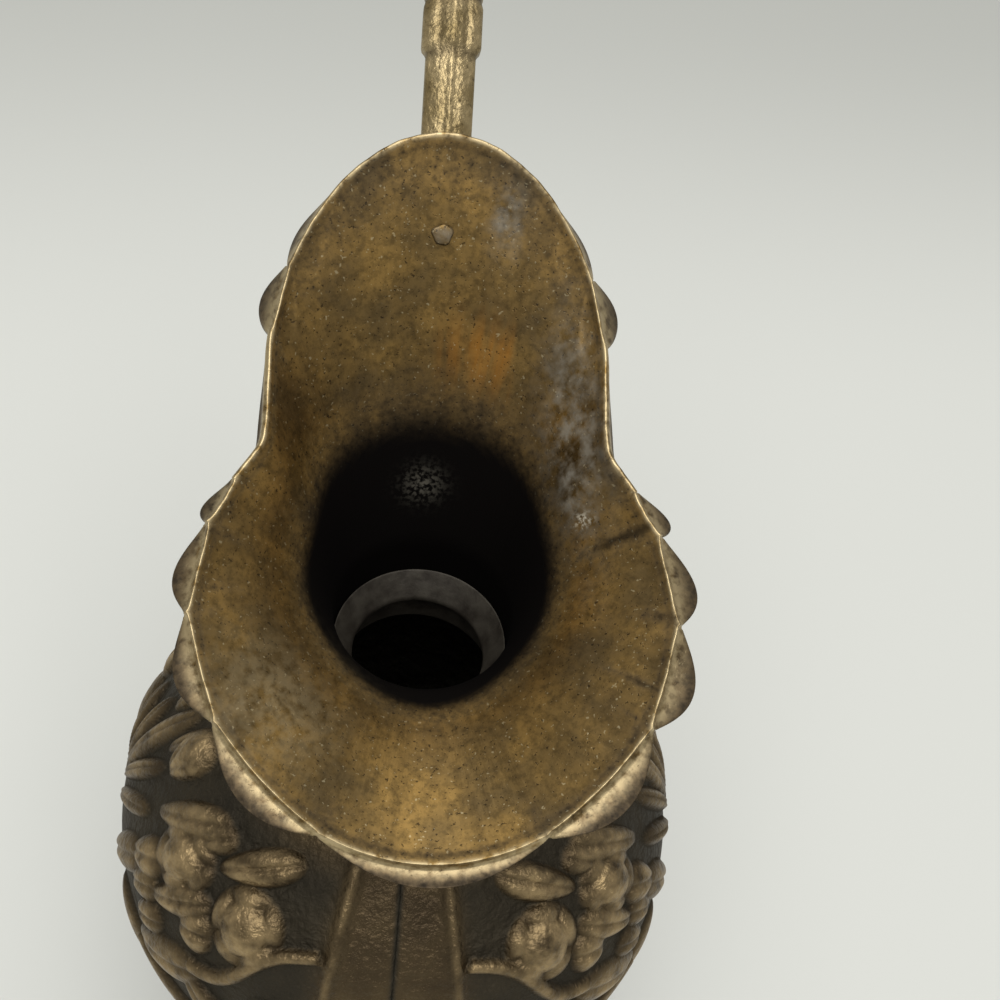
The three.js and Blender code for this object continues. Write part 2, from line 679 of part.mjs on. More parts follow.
function stemKnopGeometry() {
  const bulge = [];
  const middle = (KNOP_BOTTOM + KNOP_TOP) / 2;
  for (let i = 0; i <= MOULDING_STEPS; i++) {
    const lean = (Math.PI * i) / MOULDING_STEPS - BACK;
    const height = middle + (KNOP_HEIGHT / 2 - KNOP_COLLAR) * Math.sin(lean);
    bulge.push(v2(STEM_RADIUS + (KNOP_RADIUS - STEM_RADIUS) * Math.cos(lean), height));
  }
  return revolve([
    v2(STEM_RADIUS, KNOP_BOTTOM),
    ...bulge,
    v2(STEM_RADIUS, KNOP_TOP),
    v2(STUD_HOLE_RADIUS, KNOP_TOP),
    v2(STUD_HOLE_RADIUS, KNOP_BOTTOM),
  ]);
}

// A trumpet on a rounded step, hollow below, with a plate at the top for the lower washer
function footGeometry() {
  const step = v2(FOOT_RADIUS - FOOT_STEP_WIDTH, FOOT_EDGE + FOOT_STEP_HEIGHT);
  const trumpet = new THREE.CubicBezierCurve(
    v2(STEM_RADIUS, FOOT_HEIGHT),
    v2(STEM_RADIUS, FOOT_HEIGHT - FOOT_TRUMPET),
    v2(step.x - FOOT_TRUMPET, step.y + FOOT_STEP_HEIGHT),
    step,
  );
  const radii = [FOOT_STEP_WIDTH, FOOT_STEP_HEIGHT];
  const rounded = new THREE.EllipseCurve(step.x, FOOT_EDGE, ...radii, BACK, 0, true);
  const round = rounded.getPoints(SPUN_CURVE_STEPS / 2).slice(1);
  const outer = [...trumpet.getPoints(SPUN_CURVE_STEPS), ...round];
  const under = FOOT_HEIGHT - FOOT_PLATE;
  const hollow = offsetLine(outer, FOOT_WALL).filter((p) => p.y < under && p.x < FOOT_RADIUS - FOOT_LAND);
  return revolve([
    ...outer,
    v2(FOOT_RADIUS, 0),
    v2(FOOT_RADIUS - FOOT_LAND, 0),
    ...hollow.reverse(),
    v2(STEM_RADIUS - FOOT_WALL, under),
    v2(STUD_HOLE_RADIUS, under),
    v2(STUD_HOLE_RADIUS, FOOT_HEIGHT),
  ]);
}

function tieStudGeometry() {
  const bottom = LOWER_NUT_BOTTOM - STUD_SPARE;
  const top = UPPER_NUT_BOTTOM + NUT_HEIGHT + STUD_SPARE;
  return turned([v2(0, bottom), v2(STUD_RADIUS, bottom), v2(STUD_RADIUS, top), v2(0, top)], SMALL_STEPS);
}

function washerGeometry(bottom) {
  const outline = ringOutline(STUD_HOLE_RADIUS, WASHER_RADIUS, bottom, bottom + WASHER_HEIGHT);
  return revolve(outline, { steps: SMALL_STEPS });
}

function nutGeometry(bottom) {
  const corner = NUT_ACROSS_FLATS / Math.sqrt(3);
  const corners = [];
  for (let i = 0; i < 6; i++) {
    corners.push(v2(corner * Math.cos((Math.PI * i) / 3), corner * Math.sin((Math.PI * i) / 3)));
  }
  const shape = new THREE.Shape(corners);
  shape.holes.push(new THREE.Path().absarc(0, 0, STUD_RADIUS + THREAD_GAP, 0, 2 * Math.PI, true));
  const settings = { depth: NUT_HEIGHT, bevelEnabled: false, curveSegments: NUT_HOLE_STEPS };
  return new THREE.ExtrudeGeometry(shape, settings).translate(0, 0, bottom);
}

// Finishes, as colour, roughness and metalness
const WORN_BRASS = { color: 0x8f7748, roughness: 0.42, metalness: 0.9 };
const BRONZED_BRASS = { color: 0x75654c, roughness: 0.5, metalness: 0.85 };
const CAST_BRASS = { color: 0x9a865f, roughness: 0.5, metalness: 0.85 };
const GREYED_BRASS = { color: 0x8d8270, roughness: 0.6, metalness: 0.7 };
const DULL_IRON = { color: 0x5f5a53, roughness: 0.6, metalness: 0.9 };

const ewer = new THREE.Group();

function addPiece(name, geometry, finish) {
  const piece = new THREE.Mesh(geometry, new THREE.MeshStandardMaterial(finish));
  piece.name = name;
  ewer.add(piece);
}

addPiece('mouth', mouthGeometry(), WORN_BRASS);
addPiece('neck_collar', neckCollarGeometry(), GREYED_BRASS);
addPiece('neck_band', neckBandGeometry(), BRONZED_BRASS);
addPiece('body_left', bodyHalfGeometry(-1), BRONZED_BRASS);
addPiece('body_right', bodyHalfGeometry(1), BRONZED_BRASS);
addPiece('handle', handleGeometry(), CAST_BRASS);
addPiece('handle_rivet', handleRivetGeometry(), CAST_BRASS);
addPiece('stem_knop', stemKnopGeometry(), BRONZED_BRASS);
addPiece('foot', footGeometry(), BRONZED_BRASS);
addPiece('tie_stud', tieStudGeometry(), DULL_IRON);
addPiece('upper_washer', washerGeometry(UPPER_WASHER_BOTTOM), DULL_IRON);
addPiece('upper_nut', nutGeometry(UPPER_NUT_BOTTOM), DULL_IRON);
addPiece('lower_washer', washerGeometry(LOWER_WASHER_BOTTOM), DULL_IRON);
addPiece('lower_nut', nutGeometry(LOWER_NUT_BOTTOM), DULL_IRON);

// The origin lies on the table, under the middle of the whole ewer with its handle
const extent = new THREE.Box3().setFromObject(ewer);
ewer.position.y = -extent.getCenter(new THREE.Vector3()).y;

export default ewer;
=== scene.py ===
"""Brass ewer seen into its mouth from above the lip, on a pale floor under soft light."""

import bpy
import numpy as np
from mathutils import Matrix, Vector


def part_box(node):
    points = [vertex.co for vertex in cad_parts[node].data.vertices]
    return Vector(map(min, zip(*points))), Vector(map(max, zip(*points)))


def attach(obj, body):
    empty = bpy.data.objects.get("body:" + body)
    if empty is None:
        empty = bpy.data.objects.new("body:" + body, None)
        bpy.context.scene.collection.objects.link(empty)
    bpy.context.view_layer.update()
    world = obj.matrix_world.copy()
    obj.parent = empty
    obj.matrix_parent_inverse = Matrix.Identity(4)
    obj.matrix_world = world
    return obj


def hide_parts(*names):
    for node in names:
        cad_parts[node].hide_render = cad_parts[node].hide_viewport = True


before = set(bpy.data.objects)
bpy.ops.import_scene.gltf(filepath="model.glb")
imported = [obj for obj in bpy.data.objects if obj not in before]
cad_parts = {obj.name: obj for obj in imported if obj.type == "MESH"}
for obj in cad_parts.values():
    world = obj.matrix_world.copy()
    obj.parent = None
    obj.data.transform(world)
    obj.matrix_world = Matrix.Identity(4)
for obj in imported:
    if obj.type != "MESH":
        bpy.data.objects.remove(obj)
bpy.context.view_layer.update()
foot_low, foot_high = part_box("foot")
AXIS_Y = (foot_low[1] + foot_high[1]) / 2
MM = 0.001

# Lengths in millimetres, heights above the table, distances from the body's axis
SHEET = 1.2
SOLDER = 0.3
BODY_BOTTOM = 40.6
BODY_TOP = 162.6
NECK_BOTTOM = 162.9
NECK_TOP = 178.9
NECK_RADIUS = 15.5
FRONT = -np.pi / 2
BACK = np.pi / 2


def bezier(controls, share):
    """Point on a Bezier curve of two, three or four controls, by repeated linear blending."""
    points = [np.asarray(c, float) * np.ones_like(share)[..., None] for c in controls]
    while len(points) > 1:
        points = [a + (b - a) * share[..., None] for a, b in zip(points, points[1:])]
    return points[0]


def unit(vectors):
    """The same directions with a length of 1."""
    return vectors / np.maximum(np.linalg.norm(vectors, axis=-1, keepdims=True), 1e-12)


def smooth(value, low, high):
    """Rises from 0 to 1 between low and high with a smooth start and end."""
    share = np.clip((value - low) / (high - low), 0, 1)
    return share * share * (3 - 2 * share)


def bump(value, middle, width):
    """Bell of height 1 about a middle."""
    return np.exp(-(((value - middle) / width) ** 2))


def oval(across, up, middle, width, middle_up, width_up):
    """Soft oval spot: a bell across times a bell up."""
    return bump(across, middle, width) * bump(up, middle_up, width_up)


def polar(radius, angle, height):
    """Points at a radius from the axis, an angle round it and a height."""
    return np.stack(np.broadcast_arrays(radius * np.cos(angle), radius * np.sin(angle), height), axis=-1)


def half_turn(steps):
    """Angles from straight down to straight up."""
    return np.linspace(-np.pi / 2, np.pi / 2, steps)


def run_along(line):
    """Distance along a line at each of its points."""
    return np.concatenate([[0], np.cumsum(np.linalg.norm(np.diff(line, axis=0), axis=1))])


def spread(line, at):
    """The same line in points at given distances along it."""
    run = run_along(line)
    return np.stack([np.interp(at, run, values) for values in line.T], axis=1)


def surface(name, points, node, material, rows_closed=True, columns_closed=True, looks=None):
    """Skin over a grid of rows and columns of points in millimetres.

    Neighbouring points make quads, and a closed direction joins its last line to its first. Where only one
    direction is closed, each open end is shut by one flat face. Looks are numbers or vectors per point.
    """
    rows, columns = points.shape[:2]
    index = np.arange(rows * columns).reshape(rows, columns)
    grid = np.vstack([index, index[:1]]) if rows_closed else index
    grid = np.hstack([grid, grid[:, :1]]) if columns_closed else grid
    quads = np.stack([grid[:-1, :-1], grid[:-1, 1:], grid[1:, 1:], grid[1:, :-1]], axis=-1).reshape(-1, 4)
    flat = points.reshape(-1, 3)
    first, second, third, fourth = np.moveaxis(flat[quads] - flat[0], 1, 0)
    volume = np.sum(np.cross(first, second) * third) + np.sum(np.cross(first, third) * fourth)
    ends = []
    if rows_closed and not columns_closed:
        ends = [index[:, 0], index[::-1, -1]]
    if columns_closed and not rows_closed:
        ends = [index[0, ::-1], index[-1]]
    if volume < 0:
        quads = quads[:, ::-1]
        ends = [end[::-1] for end in ends]
    corner_list = np.concatenate([quads.ravel(), *ends]).astype(np.int32)
    sizes = np.concatenate([np.full(len(quads), 4), [len(end) for end in ends]]).astype(np.int32)
    starts = np.concatenate([[0], np.cumsum(sizes)[:-1]]).astype(np.int32)
    mesh = bpy.data.meshes.new(name)
    mesh.vertices.add(len(flat))
    placed = flat * MM + np.array([0, AXIS_Y, 0])
    mesh.vertices.foreach_set("co", placed.astype(np.float32).ravel())
    mesh.loops.add(len(corner_list))
    mesh.loops.foreach_set("vertex_index", corner_list)
    mesh.polygons.add(len(sizes))
    mesh.polygons.foreach_set("loop_start", starts)
    mesh.polygons.foreach_set("use_smooth", sizes == 4)
    mesh.update(calc_edges=True)
    for look, values in (looks or {}).items():
        values = np.asarray(values, float)
        vector = values.ndim == 3
        kind, field = ("FLOAT_VECTOR", "vector") if vector else ("FLOAT", "value")
        shape = (rows, columns, 3) if vector else (rows, columns)
        layer = mesh.attributes.new(look, kind, "POINT")
        layer.data.foreach_set(field, np.broadcast_to(values, shape).astype(np.float32).ravel())
    piece = bpy.data.objects.new(name, mesh)
    bpy.context.collection.objects.link(piece)
    mesh.materials.append(material)
    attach(piece, "root")
    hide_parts(node)


# Materials


def linear(code):
    """Linear colour of an sRGB hex code."""
    values = np.array([int(code[i:i + 2], 16) for i in (1, 3, 5)]) / 255
    curve = np.where(values <= 0.04045, values / 12.92, ((values + 0.055) / 1.055) ** 2.4)
    return (*curve, 1.0)


def plug(tree, socket, value):
    """Gives an input socket a value, or links it to an output socket."""
    if isinstance(value, bpy.types.NodeSocket):
        tree.links.new(value, socket)
    else:
        socket.default_value = value


def add(tree, kind, inputs=None, **settings):
    """Adds a node: settings go on the node, inputs are values or the output sockets that link to them."""
    node = tree.nodes.new(kind)
    for key, value in settings.items():
        setattr(node, key, value)
    for key, value in (inputs or {}).items():
        plug(tree, node.inputs[key], value)
    return node


def material(name):
    """A new material: itself, its tree, its Principled shader and the place on the object."""
    made = bpy.data.materials.new(name)
    made.use_nodes = True
    tree = made.node_tree
    place = add(tree, "ShaderNodeTexCoord").outputs["Object"]
    return made, tree, tree.nodes["Principled BSDF"], place


def coat(tree, shader, colour, rough, metal):
    """Gives a shader its colour, roughness and metallic share, as values or sockets."""
    plug(tree, shader.inputs["Base Color"], colour)
    plug(tree, shader.inputs["Roughness"], rough)
    plug(tree, shader.inputs["Metallic"], metal)


def painted(tree, look):
    """Share of a look that the points of a surface carry."""
    return add(tree, "ShaderNodeAttribute", attribute_name=look).outputs["Fac"]


def blend(tree, share, under, over):
    """Colour over laid on colour under by a share from 0 to 1, through the Mix node's colour sockets."""
    mix = add(tree, "ShaderNodeMix", {0: share, 6: under, 7: over}, data_type="RGBA")
    return mix.outputs[2]


def patch(tree, vector, scale, low, high, detail=3.0, rough=0.55):
    """Noise of a scale per metre, cut to a share that rises from 0 to 1 between two levels."""
    noise = add(tree, "ShaderNodeTexNoise",
                {"Vector": vector, "Scale": scale, "Detail": detail, "Roughness": rough})
    cut = add(tree, "ShaderNodeMapRange", {"Value": noise.outputs["Fac"], "From Min": low, "From Max": high})
    return cut.outputs["Result"]


def between(tree, share, low, high):
    """Value that goes from low to high as a share goes from 0 to 1."""
    return add(tree, "ShaderNodeMapRange", {"Value": share, "To Min": low, "To Max": high}).outputs["Result"]


def maths(tree, operation, first, second):
    """Result of an operation on two values or sockets."""
    return add(tree, "ShaderNodeMath", {0: first, 1: second}, operation=operation).outputs[0]


def times(tree, first, second):
    """Product of two shares."""
    return maths(tree, "MULTIPLY", first, second)


def relief(tree, shader, height, depth, distance):
    """Bump of a height socket over a distance in metres."""
    node = add(tree, "ShaderNodeBump", {"Height": height, "Strength": depth, "Distance": distance})
    plug(tree, shader.inputs["Normal"], node.outputs["Normal"])


def worn_sheet_brass():
    """Hand-worked brass sheet, never polished inside: mottled olive and gold under brown patina, finely
    pitted, hazed and crusted with lime, darkened in the throat and under the rim by sooty dirt and painted
    shade, with a painted orange reflection on the tongue, bronzed outside and rubbed bright along the rim."""
    made, tree, shader, place = material("worn_sheet_brass")
    wall_place = add(tree, "ShaderNodeAttribute", attribute_name="wall").outputs["Vector"]
    looks = ("soot_and_shade", "lime", "chalk", "painted_reflection", "outside", "rubbed")
    soot_and_shade, lime, chalk, painted_reflection, outside, rubbed = (painted(tree, look) for look in looks)
    clouds = patch(tree, place, 95, 0.38, 0.62, 6)
    colour = blend(tree, clouds, linear("#6c5938"), linear("#967843"))
    stains = patch(tree, place, 650, 0.44, 0.64, 8, 0.7)
    colour = blend(tree, times(tree, stains, 0.6), colour, linear("#43361f"))
    marks = patch(tree, wall_place, 300, 0.4, 0.7, 4)
    colour = blend(tree, times(tree, marks, 0.4), colour, linear("#4d3e26"))
    # Painted orange reflection on the tongue's inner face
    gold = times(tree, painted_reflection, patch(tree, wall_place, 500, 0.3, 0.6, 3))
    colour = blend(tree, gold, colour, linear("#b67a2e"))
    pits = patch(tree, place, 1700, 0.63, 0.7, 2)
    colour = blend(tree, times(tree, pits, 0.75), colour, linear("#241c12"))
    dust = patch(tree, place, 1500, 0.69, 0.74, 1)
    colour = blend(tree, times(tree, dust, 0.4), colour, linear("#cbbd97"))
    haze = times(tree, lime, patch(tree, place, 420, 0.36, 0.66, 6))
    colour = blend(tree, haze, colour, linear("#8d887c"))
    colour = blend(tree, outside, colour, blend(tree, stains, linear("#6d5c42"), linear("#463b2b")))
    smudge = patch(tree, place, 900, 0.3, 0.7, 5)
    # Near-black from sooty dirt and painted shade in the throat, under the rim's edge and in the lobes'
    # creases
    black = maths(tree, "POWER", soot_and_shade, maths(tree, "ADD", 0.5, times(tree, smudge, 1.4)))
    colour = blend(tree, black, colour, linear("#070504"))
    crust = times(tree, chalk, patch(tree, place, 1300, 0.44, 0.6, 4))
    colour = blend(tree, crust, colour, linear("#b5ae9c"))
    worn = times(tree, rubbed, patch(tree, place, 520, 0.34, 0.56, 5))
    colour = blend(tree, worn, colour, linear("#b9a67f"))
    dull = maths(tree, "MAXIMUM", times(tree, haze, 0.6), maths(tree, "MAXIMUM", black, crust))
    coat(tree, shader, colour, between(tree, dull, 0.42, 0.85), between(tree, dull, 0.9, 0.05))
    plug(tree, shader.inputs["Specular IOR Level"], between(tree, dull, 0.5, 0.06))
    relief(tree, shader, maths(tree, "SUBTRACT", marks, pits), 0.2, 0.0004)
    return made


def bronzed_brass():
    """Embossed sheet, bronzed brown and rubbed tan on its high places, with grey-green dirt in the hollows
    and a hammered ground between the ornaments."""
    made, tree, shader, place = material("bronzed_embossed_brass")
    dirt = painted(tree, "dirt")
    clouds = patch(tree, place, 90, 0.35, 0.68, 5)
    colour = blend(tree, clouds, linear("#463a29"), linear("#5e4f37"))
    high = times(tree, painted(tree, "rubbed"), patch(tree, place, 260, 0.3, 0.62, 4))
    colour = blend(tree, high, colour, linear("#a48d66"))
    colour = blend(tree, dirt, colour, linear("#33312a"))
    coat(tree, shader, colour, between(tree, dirt, 0.4, 0.75), 0.85)
    ground = times(tree, dirt, patch(tree, place, 260, 0.35, 0.65, 3))
    grain = times(tree, patch(tree, place, 700, 0.3, 0.7, 4), 0.4)
    relief(tree, shader, maths(tree, "ADD", grain, ground), 0.6, 0.001)
    return made


def cast_brass():
    """Sand-cast brass, rubbed pale gold by hands, with a fine cast grain and brown left in its grooves."""
    made, tree, shader, place = material("cast_brass")
    clouds = patch(tree, place, 160, 0.38, 0.64, 6)
    colour = blend(tree, clouds, linear("#8a7852"), linear("#b9a57c"))
    pores = patch(tree, place, 1100, 0.56, 0.68, 3)
    colour = blend(tree, times(tree, pores, 0.6), colour, linear("#4e4029"))
    colour = blend(tree, painted(tree, "dirt"), colour, linear("#3a2f20"))
    coat(tree, shader, colour, 0.42, 0.88)
    relief(tree, shader, patch(tree, place, 800, 0.3, 0.7, 4), 0.4, 0.0006)
    return made


def greyed_brass():
    """Spun brass that is never wiped: pale grey-brown dust and lime on dull metal."""
    made, tree, shader, place = material("dusty_spun_brass")
    dust = patch(tree, place, 300, 0.3, 0.65, 6)
    coat(tree, shader, blend(tree, dust, linear("#2a241d"), linear("#48433a")), 0.6, 0.55)
    relief(tree, shader, dust, 0.2, 0.0004)
    return made


def dull_iron():
    """Plain iron hardware gone grey-brown, with a little rust."""
    made, tree, shader, place = material("dull_iron")
    rust = patch(tree, place, 420, 0.5, 0.7, 5)
    colour = blend(tree, rust, linear("#66615a"), linear("#6a4a33"))
    coat(tree, shader, colour, between(tree, rust, 0.45, 0.8), 0.9)
    return made


def pale_paper():
    """Matt pale paper, with painted shade that darkens it farther behind the ewer, where less light falls.
    """
    made, tree, shader, place = material("pale_paper")
    behind = add(tree, "ShaderNodeSeparateXYZ", {"Vector": place}).outputs["Y"]
    # Painted shade: the paper's colour darkens behind the ewer in place of light falling off there
    painted_falloff = add(tree, "ShaderNodeMapRange", {"Value": behind, "From Min": 0.18, "From Max": 0.45},
                  interpolation_type="SMOOTHSTEP")
    tone = blend(tree, painted_falloff.outputs["Result"], linear("#d3d4ce"), linear("#b8b9b3"))
    coat(tree, shader, tone, 0.9, 0.0)
    return made


sheet_brass = worn_sheet_brass()
body_brass = bronzed_brass()
handle_brass = cast_brass()
dusty_brass = greyed_brass()
iron = dull_iron()

# Mouth: an elliptical spout ahead of the axis and a round-ended tongue behind it
SPOUT_HALF_WIDTH = 38
SPOUT_HALF_LENGTH = 34.5
SPOUT_OFFSET = 16
TONGUE_HALF_WIDTH = 27
TONGUE_OFFSET = 22
RIM_CORNER = 24
LIP_HEIGHT = 23
LIP_SWEEP = (30, 27)
TONGUE_HEIGHT = 79.5
TONGUE_SWEEP = (37, 44)
LIP_FLARE = np.array([0.12, 0.75])
TONGUE_FLARE = np.array([0.35, 0.5])
LOBE_DROP = 7
LOBE_ROLL = 0.35
LOBE_HOLLOW = 0.1
LOBE_FULLNESS = 0.8
# Notches between lobes in degrees from the right side, then each lobe's swell and the rim's dip along it
NOTCHES = np.array([-110, -70, -45, -25, -6, 5.5, 43, 54, 66.5, 113.5])
SWELLS = np.array([2.4, 3.2, 3, 2.9, 2.6, 0.7, 3.4, 2.4, 1.5])
DIPS = np.array([0.3, 0.8, 1.1, 1.3, 0.8, 0, 0.6, 0.2, 0])
# Beaten by hand, the right side's lobes are fuller than the left side's by twice this share
FULLER_RIGHT = 0.2
# The sheet's edge: where in its thickness the first and last rows lie, the height of its crown, and its
# ripples as share of the crown, waves round the rim and shift
EDGE_SHARES = (0.12, 0.88)
EDGE_CROWN = 0.35
EDGE_RIPPLES = [(0.18, 37, 0), (0.12, 91, 1)]
# Points of the mouth's grid round each lobe and along the section, and where the lobes' rows stop by the rim
MOUTH_COLUMNS_PER_LOBE = 40
NECK_ROWS = 7
FLARE_ROWS_IN = 30
FLARE_ROWS_OUT = 24
HOLLOW_ROWS = 16
HOLLOW_TOP = 0.02
LOBE_ROWS = 34
LOBE_TOP = 0.03


def rim_reach(angle):
    """Distance from the axis to the rim: a high power mean of the spout's ellipse and the tongue's arch."""
    across = np.cos(angle)
    back = np.sin(angle)
    a = (across / SPOUT_HALF_WIDTH) ** 2 + (back / SPOUT_HALF_LENGTH) ** 2
    b = back * SPOUT_OFFSET / SPOUT_HALF_LENGTH ** 2
    c = (SPOUT_OFFSET / SPOUT_HALF_LENGTH) ** 2 - 1
    spout = (-b + np.sqrt(b * b - a * c)) / a
    side = TONGUE_HALF_WIDTH / np.maximum(np.abs(across), 1e-9)
    half_chord = np.sqrt(np.maximum(TONGUE_HALF_WIDTH ** 2 - (TONGUE_OFFSET * across) ** 2, 0))
    tongue = np.where(side * back > TONGUE_OFFSET, back * TONGUE_OFFSET + half_chord, side)
    tongue = np.where(back < 0, TONGUE_HALF_WIDTH, tongue)
    return (spout ** RIM_CORNER + tongue ** RIM_CORNER) ** (1 / RIM_CORNER)


def rim_height(y):
    """Height of the rim at a distance behind the axis, read off its S-shaped side curve."""
    lip = np.array([-rim_reach(np.array(FRONT)), NECK_BOTTOM + LIP_HEIGHT])
    tongue = np.array([rim_reach(np.array(BACK)), NECK_BOTTOM + TONGUE_HEIGHT])
    side = bezier([lip, lip + LIP_SWEEP, tongue - TONGUE_SWEEP, tongue], np.linspace(0, 1, 2001))
    return np.interp(y, side[:, 0], side[:, 1])


def flare_controls(angle):
    """Three controls, as radius and height, of the wall's curve from neck to rim in each plan direction."""
    reach = rim_reach(angle)
    height = rim_height(reach * np.sin(angle))
    share = (1 + np.sin(angle))[..., None] / 2
    flare = LIP_FLARE + (TONGUE_FLARE - LIP_FLARE) * share
    neck = np.stack(np.broadcast_arrays(NECK_RADIUS, NECK_TOP + 0 * reach), axis=-1)
    rim = np.stack([reach, height], axis=-1)
    return neck, neck + flare * (rim - neck), rim


def flare_point(angle, share):
    """Point on the wall's inner face at a share of the way from neck to rim, without its lobes."""
    at = bezier(flare_controls(angle), share)
    return polar(at[..., 0], angle, at[..., 1])


def flare_normal(angle, share):
    """Direction square to the wall and away from the inside, from small steps along it."""
    step = 1e-3
    up = flare_point(angle, np.minimum(share + step, 1)) - flare_point(angle, np.maximum(share - step, 0))
    round_ = flare_point(angle + step, share) - flare_point(angle - step, share)
    return unit(np.cross(round_, up))


def flare_length(angle, share):
    """Length of the wall's curve from a share of the way up to the rim, by five-point Gauss quadrature."""
    neck, middle, rim = flare_controls(angle)
    spots, weights = np.polynomial.legendre.leggauss(5)
    total = 0
    for spot, weight in zip(spots, weights):
        at = (share + (1 - share) * (spot + 1) / 2)[..., None]
        speed = 2 * ((1 - at) * (middle - neck) + at * (rim - middle))
        total = total + weight / 2 * (1 - share) * np.linalg.norm(speed, axis=-1)
    return total


def share_below(angle, below):
    """Share of the way from neck to rim that lies a distance below the rim, by Newton steps."""
    share = 1 - below / flare_length(angle, np.zeros_like(below))
    step = 1e-4
    for _ in range(6):
        length = flare_length(angle, share)
        slope = (flare_length(angle, share - step) - length) / step
        share = np.clip(share + (length - below) / slope, 0, 1)
    return share


def lobes(angle):
    """Swell and dip of the lobe in each direction, and its round arch from notch to notch."""
    turn = np.degrees(angle)
    right = np.where(np.cos(angle) >= 0, turn, 180 - turn)
    which = np.clip(np.searchsorted(NOTCHES, right, side="right") - 1, 0, len(SWELLS) - 1)
    start = NOTCHES[which]
    across = np.sin(np.pi * (right - start) / (NOTCHES[which + 1] - start))
    swell = SWELLS[which] * (1 + FULLER_RIGHT * np.cos(angle))
    return swell, DIPS[which], np.sqrt(np.maximum(across, 0))


def lobe_bulge(arch, below):
    """Share of its swell that a lobe has below the rim: a lens, deepest between its notches."""
    across = np.clip(below / np.maximum(LOBE_DROP * arch, 1e-6), 0, 1)
    return arch * np.sin(np.pi * across) ** LOBE_FULLNESS


def wall(angles, below, thickness, rolled):
    """The wall at a distance below the rim: the flare stood off by its thickness, its lobes rolled out."""
    angle = np.broadcast_to(angles, below.shape)
    share = share_below(angle, below)
    swell, dip, arch = lobes(angle)
    bulge = lobe_bulge(arch, below)
    at = flare_point(angle, share)
    outward = polar(1.0, angle, 0.0 * angle)
    stand = thickness + 0 * below
    push = LOBE_HOLLOW * swell * bulge
    if rolled:
        lean = rim_reach(angle) - np.hypot(at[..., 0], at[..., 1])
        stand = stand + LOBE_ROLL * swell * bulge
        push = (swell + lean) * bulge
    push = push - dip * arch * np.maximum(1 - below / LOBE_DROP, 0) ** 2
    return at + flare_normal(angle, share) * stand[..., None] + outward * push[..., None]


def mouth_angles():
    """Plan directions from the lip round to the right, with one at every notch."""
    right = np.concatenate([[-90], NOTCHES[1:-1], [90]])
    marks = np.concatenate([right, 180 - right[-2::-1]])
    spans = [np.linspace(a, b, MOUTH_COLUMNS_PER_LOBE, endpoint=False) for a, b in zip(marks, marks[1:])]
    return np.radians(np.concatenate(spans))


# Looks of the mouth. A pair named for a rise gives where a look begins and where it is whole, other pairs
# give a middle and a width, and four numbers give a middle and a width across and then up.
# Sooty black with painted shade in the throat, by distance above the neck: the rise at the sides, and how
# much farther up it lies behind
SOOT_AND_SHADE_SIDES = np.array([24, 12.5])
SOOT_AND_SHADE_BEHIND = np.array([12, 7.5])
# Darkening by distance below the rim: painted shade with some dirt in a line under the edge, and darker
# places in creases between lobes, on the tongue's tip and in the hollows of the lobes outside
EDGE_SHADE_AND_GRIME = 0.6
EDGE_SHADE_AND_GRIME_BELOW = (1.8, 0.7)
CREASE_DARKENING = 0.5
CREASE_ARCH = 0.35
CREASE_RISE = (9, 2)
TIP_DARKENING = 0.4
TIP_RISE = (16, 3)
TIP_RISE_BEHIND = (24, 36)
SCALLOP_DARKENING = 0.65
SCALLOP_BELOW = (2.6, 1.2)
# Dark folds by the rim: degrees from the right side, reach below the rim, width in degrees and strength,
# and the share of the reach where a fold is whole
FOLDS = [(-3.5, 24, 2.6, 0.9), (-24, 10, 1.4, 0.7), (-38.5, 16, 0.9, 0.8), (-160, 13, 1.4, 0.6),
         (-172, 11, 1.4, 0.5)]
FOLD_WHOLE = 0.3
# Lime by strength and place from the side, a crust of chalk at the right and a trace of it behind the throat
LIME_SPOTS = [(0.8, (23, 4.5, 212, 9)), (0.9, (10.5, 2.5, 232, 4.5)), (0.5, (22, 4, 203, 5))]
CHALK_CRUST = (3.2, 1.2, 202, 1.6)
CHALK_TRACE = 0.18
CHALK_TRACE_PLACE = (-0.5, 3, 189.5, 2.5)
# Painted orange reflection on the tongue, which fades in from the left and stops at an edge
PAINTED_REFLECTION = 0.7
PAINTED_REFLECTION_RISE = (-4, 9)
PAINTED_REFLECTION_EDGE_RISE = (13.5, 12.3)
PAINTED_REFLECTION_HEIGHT = (212, 4.5)
# Bright metal: width of the rubbed rim inside and outside, and a rubbed place at the front left
RIM_RUB_INSIDE = 0.5
RIM_RUB_OUTSIDE = 1.1
FRONT_RUB = 0.4
FRONT_RUB_PLACE = (-24, 9, -27, 10)
# Bronzing begins this far below the rim, and marks in the sheet run down it, drawn out
BRONZED_BELOW = 0.6
MARKS_RADIUS = 30.0
MARKS_STRETCH = 0.12


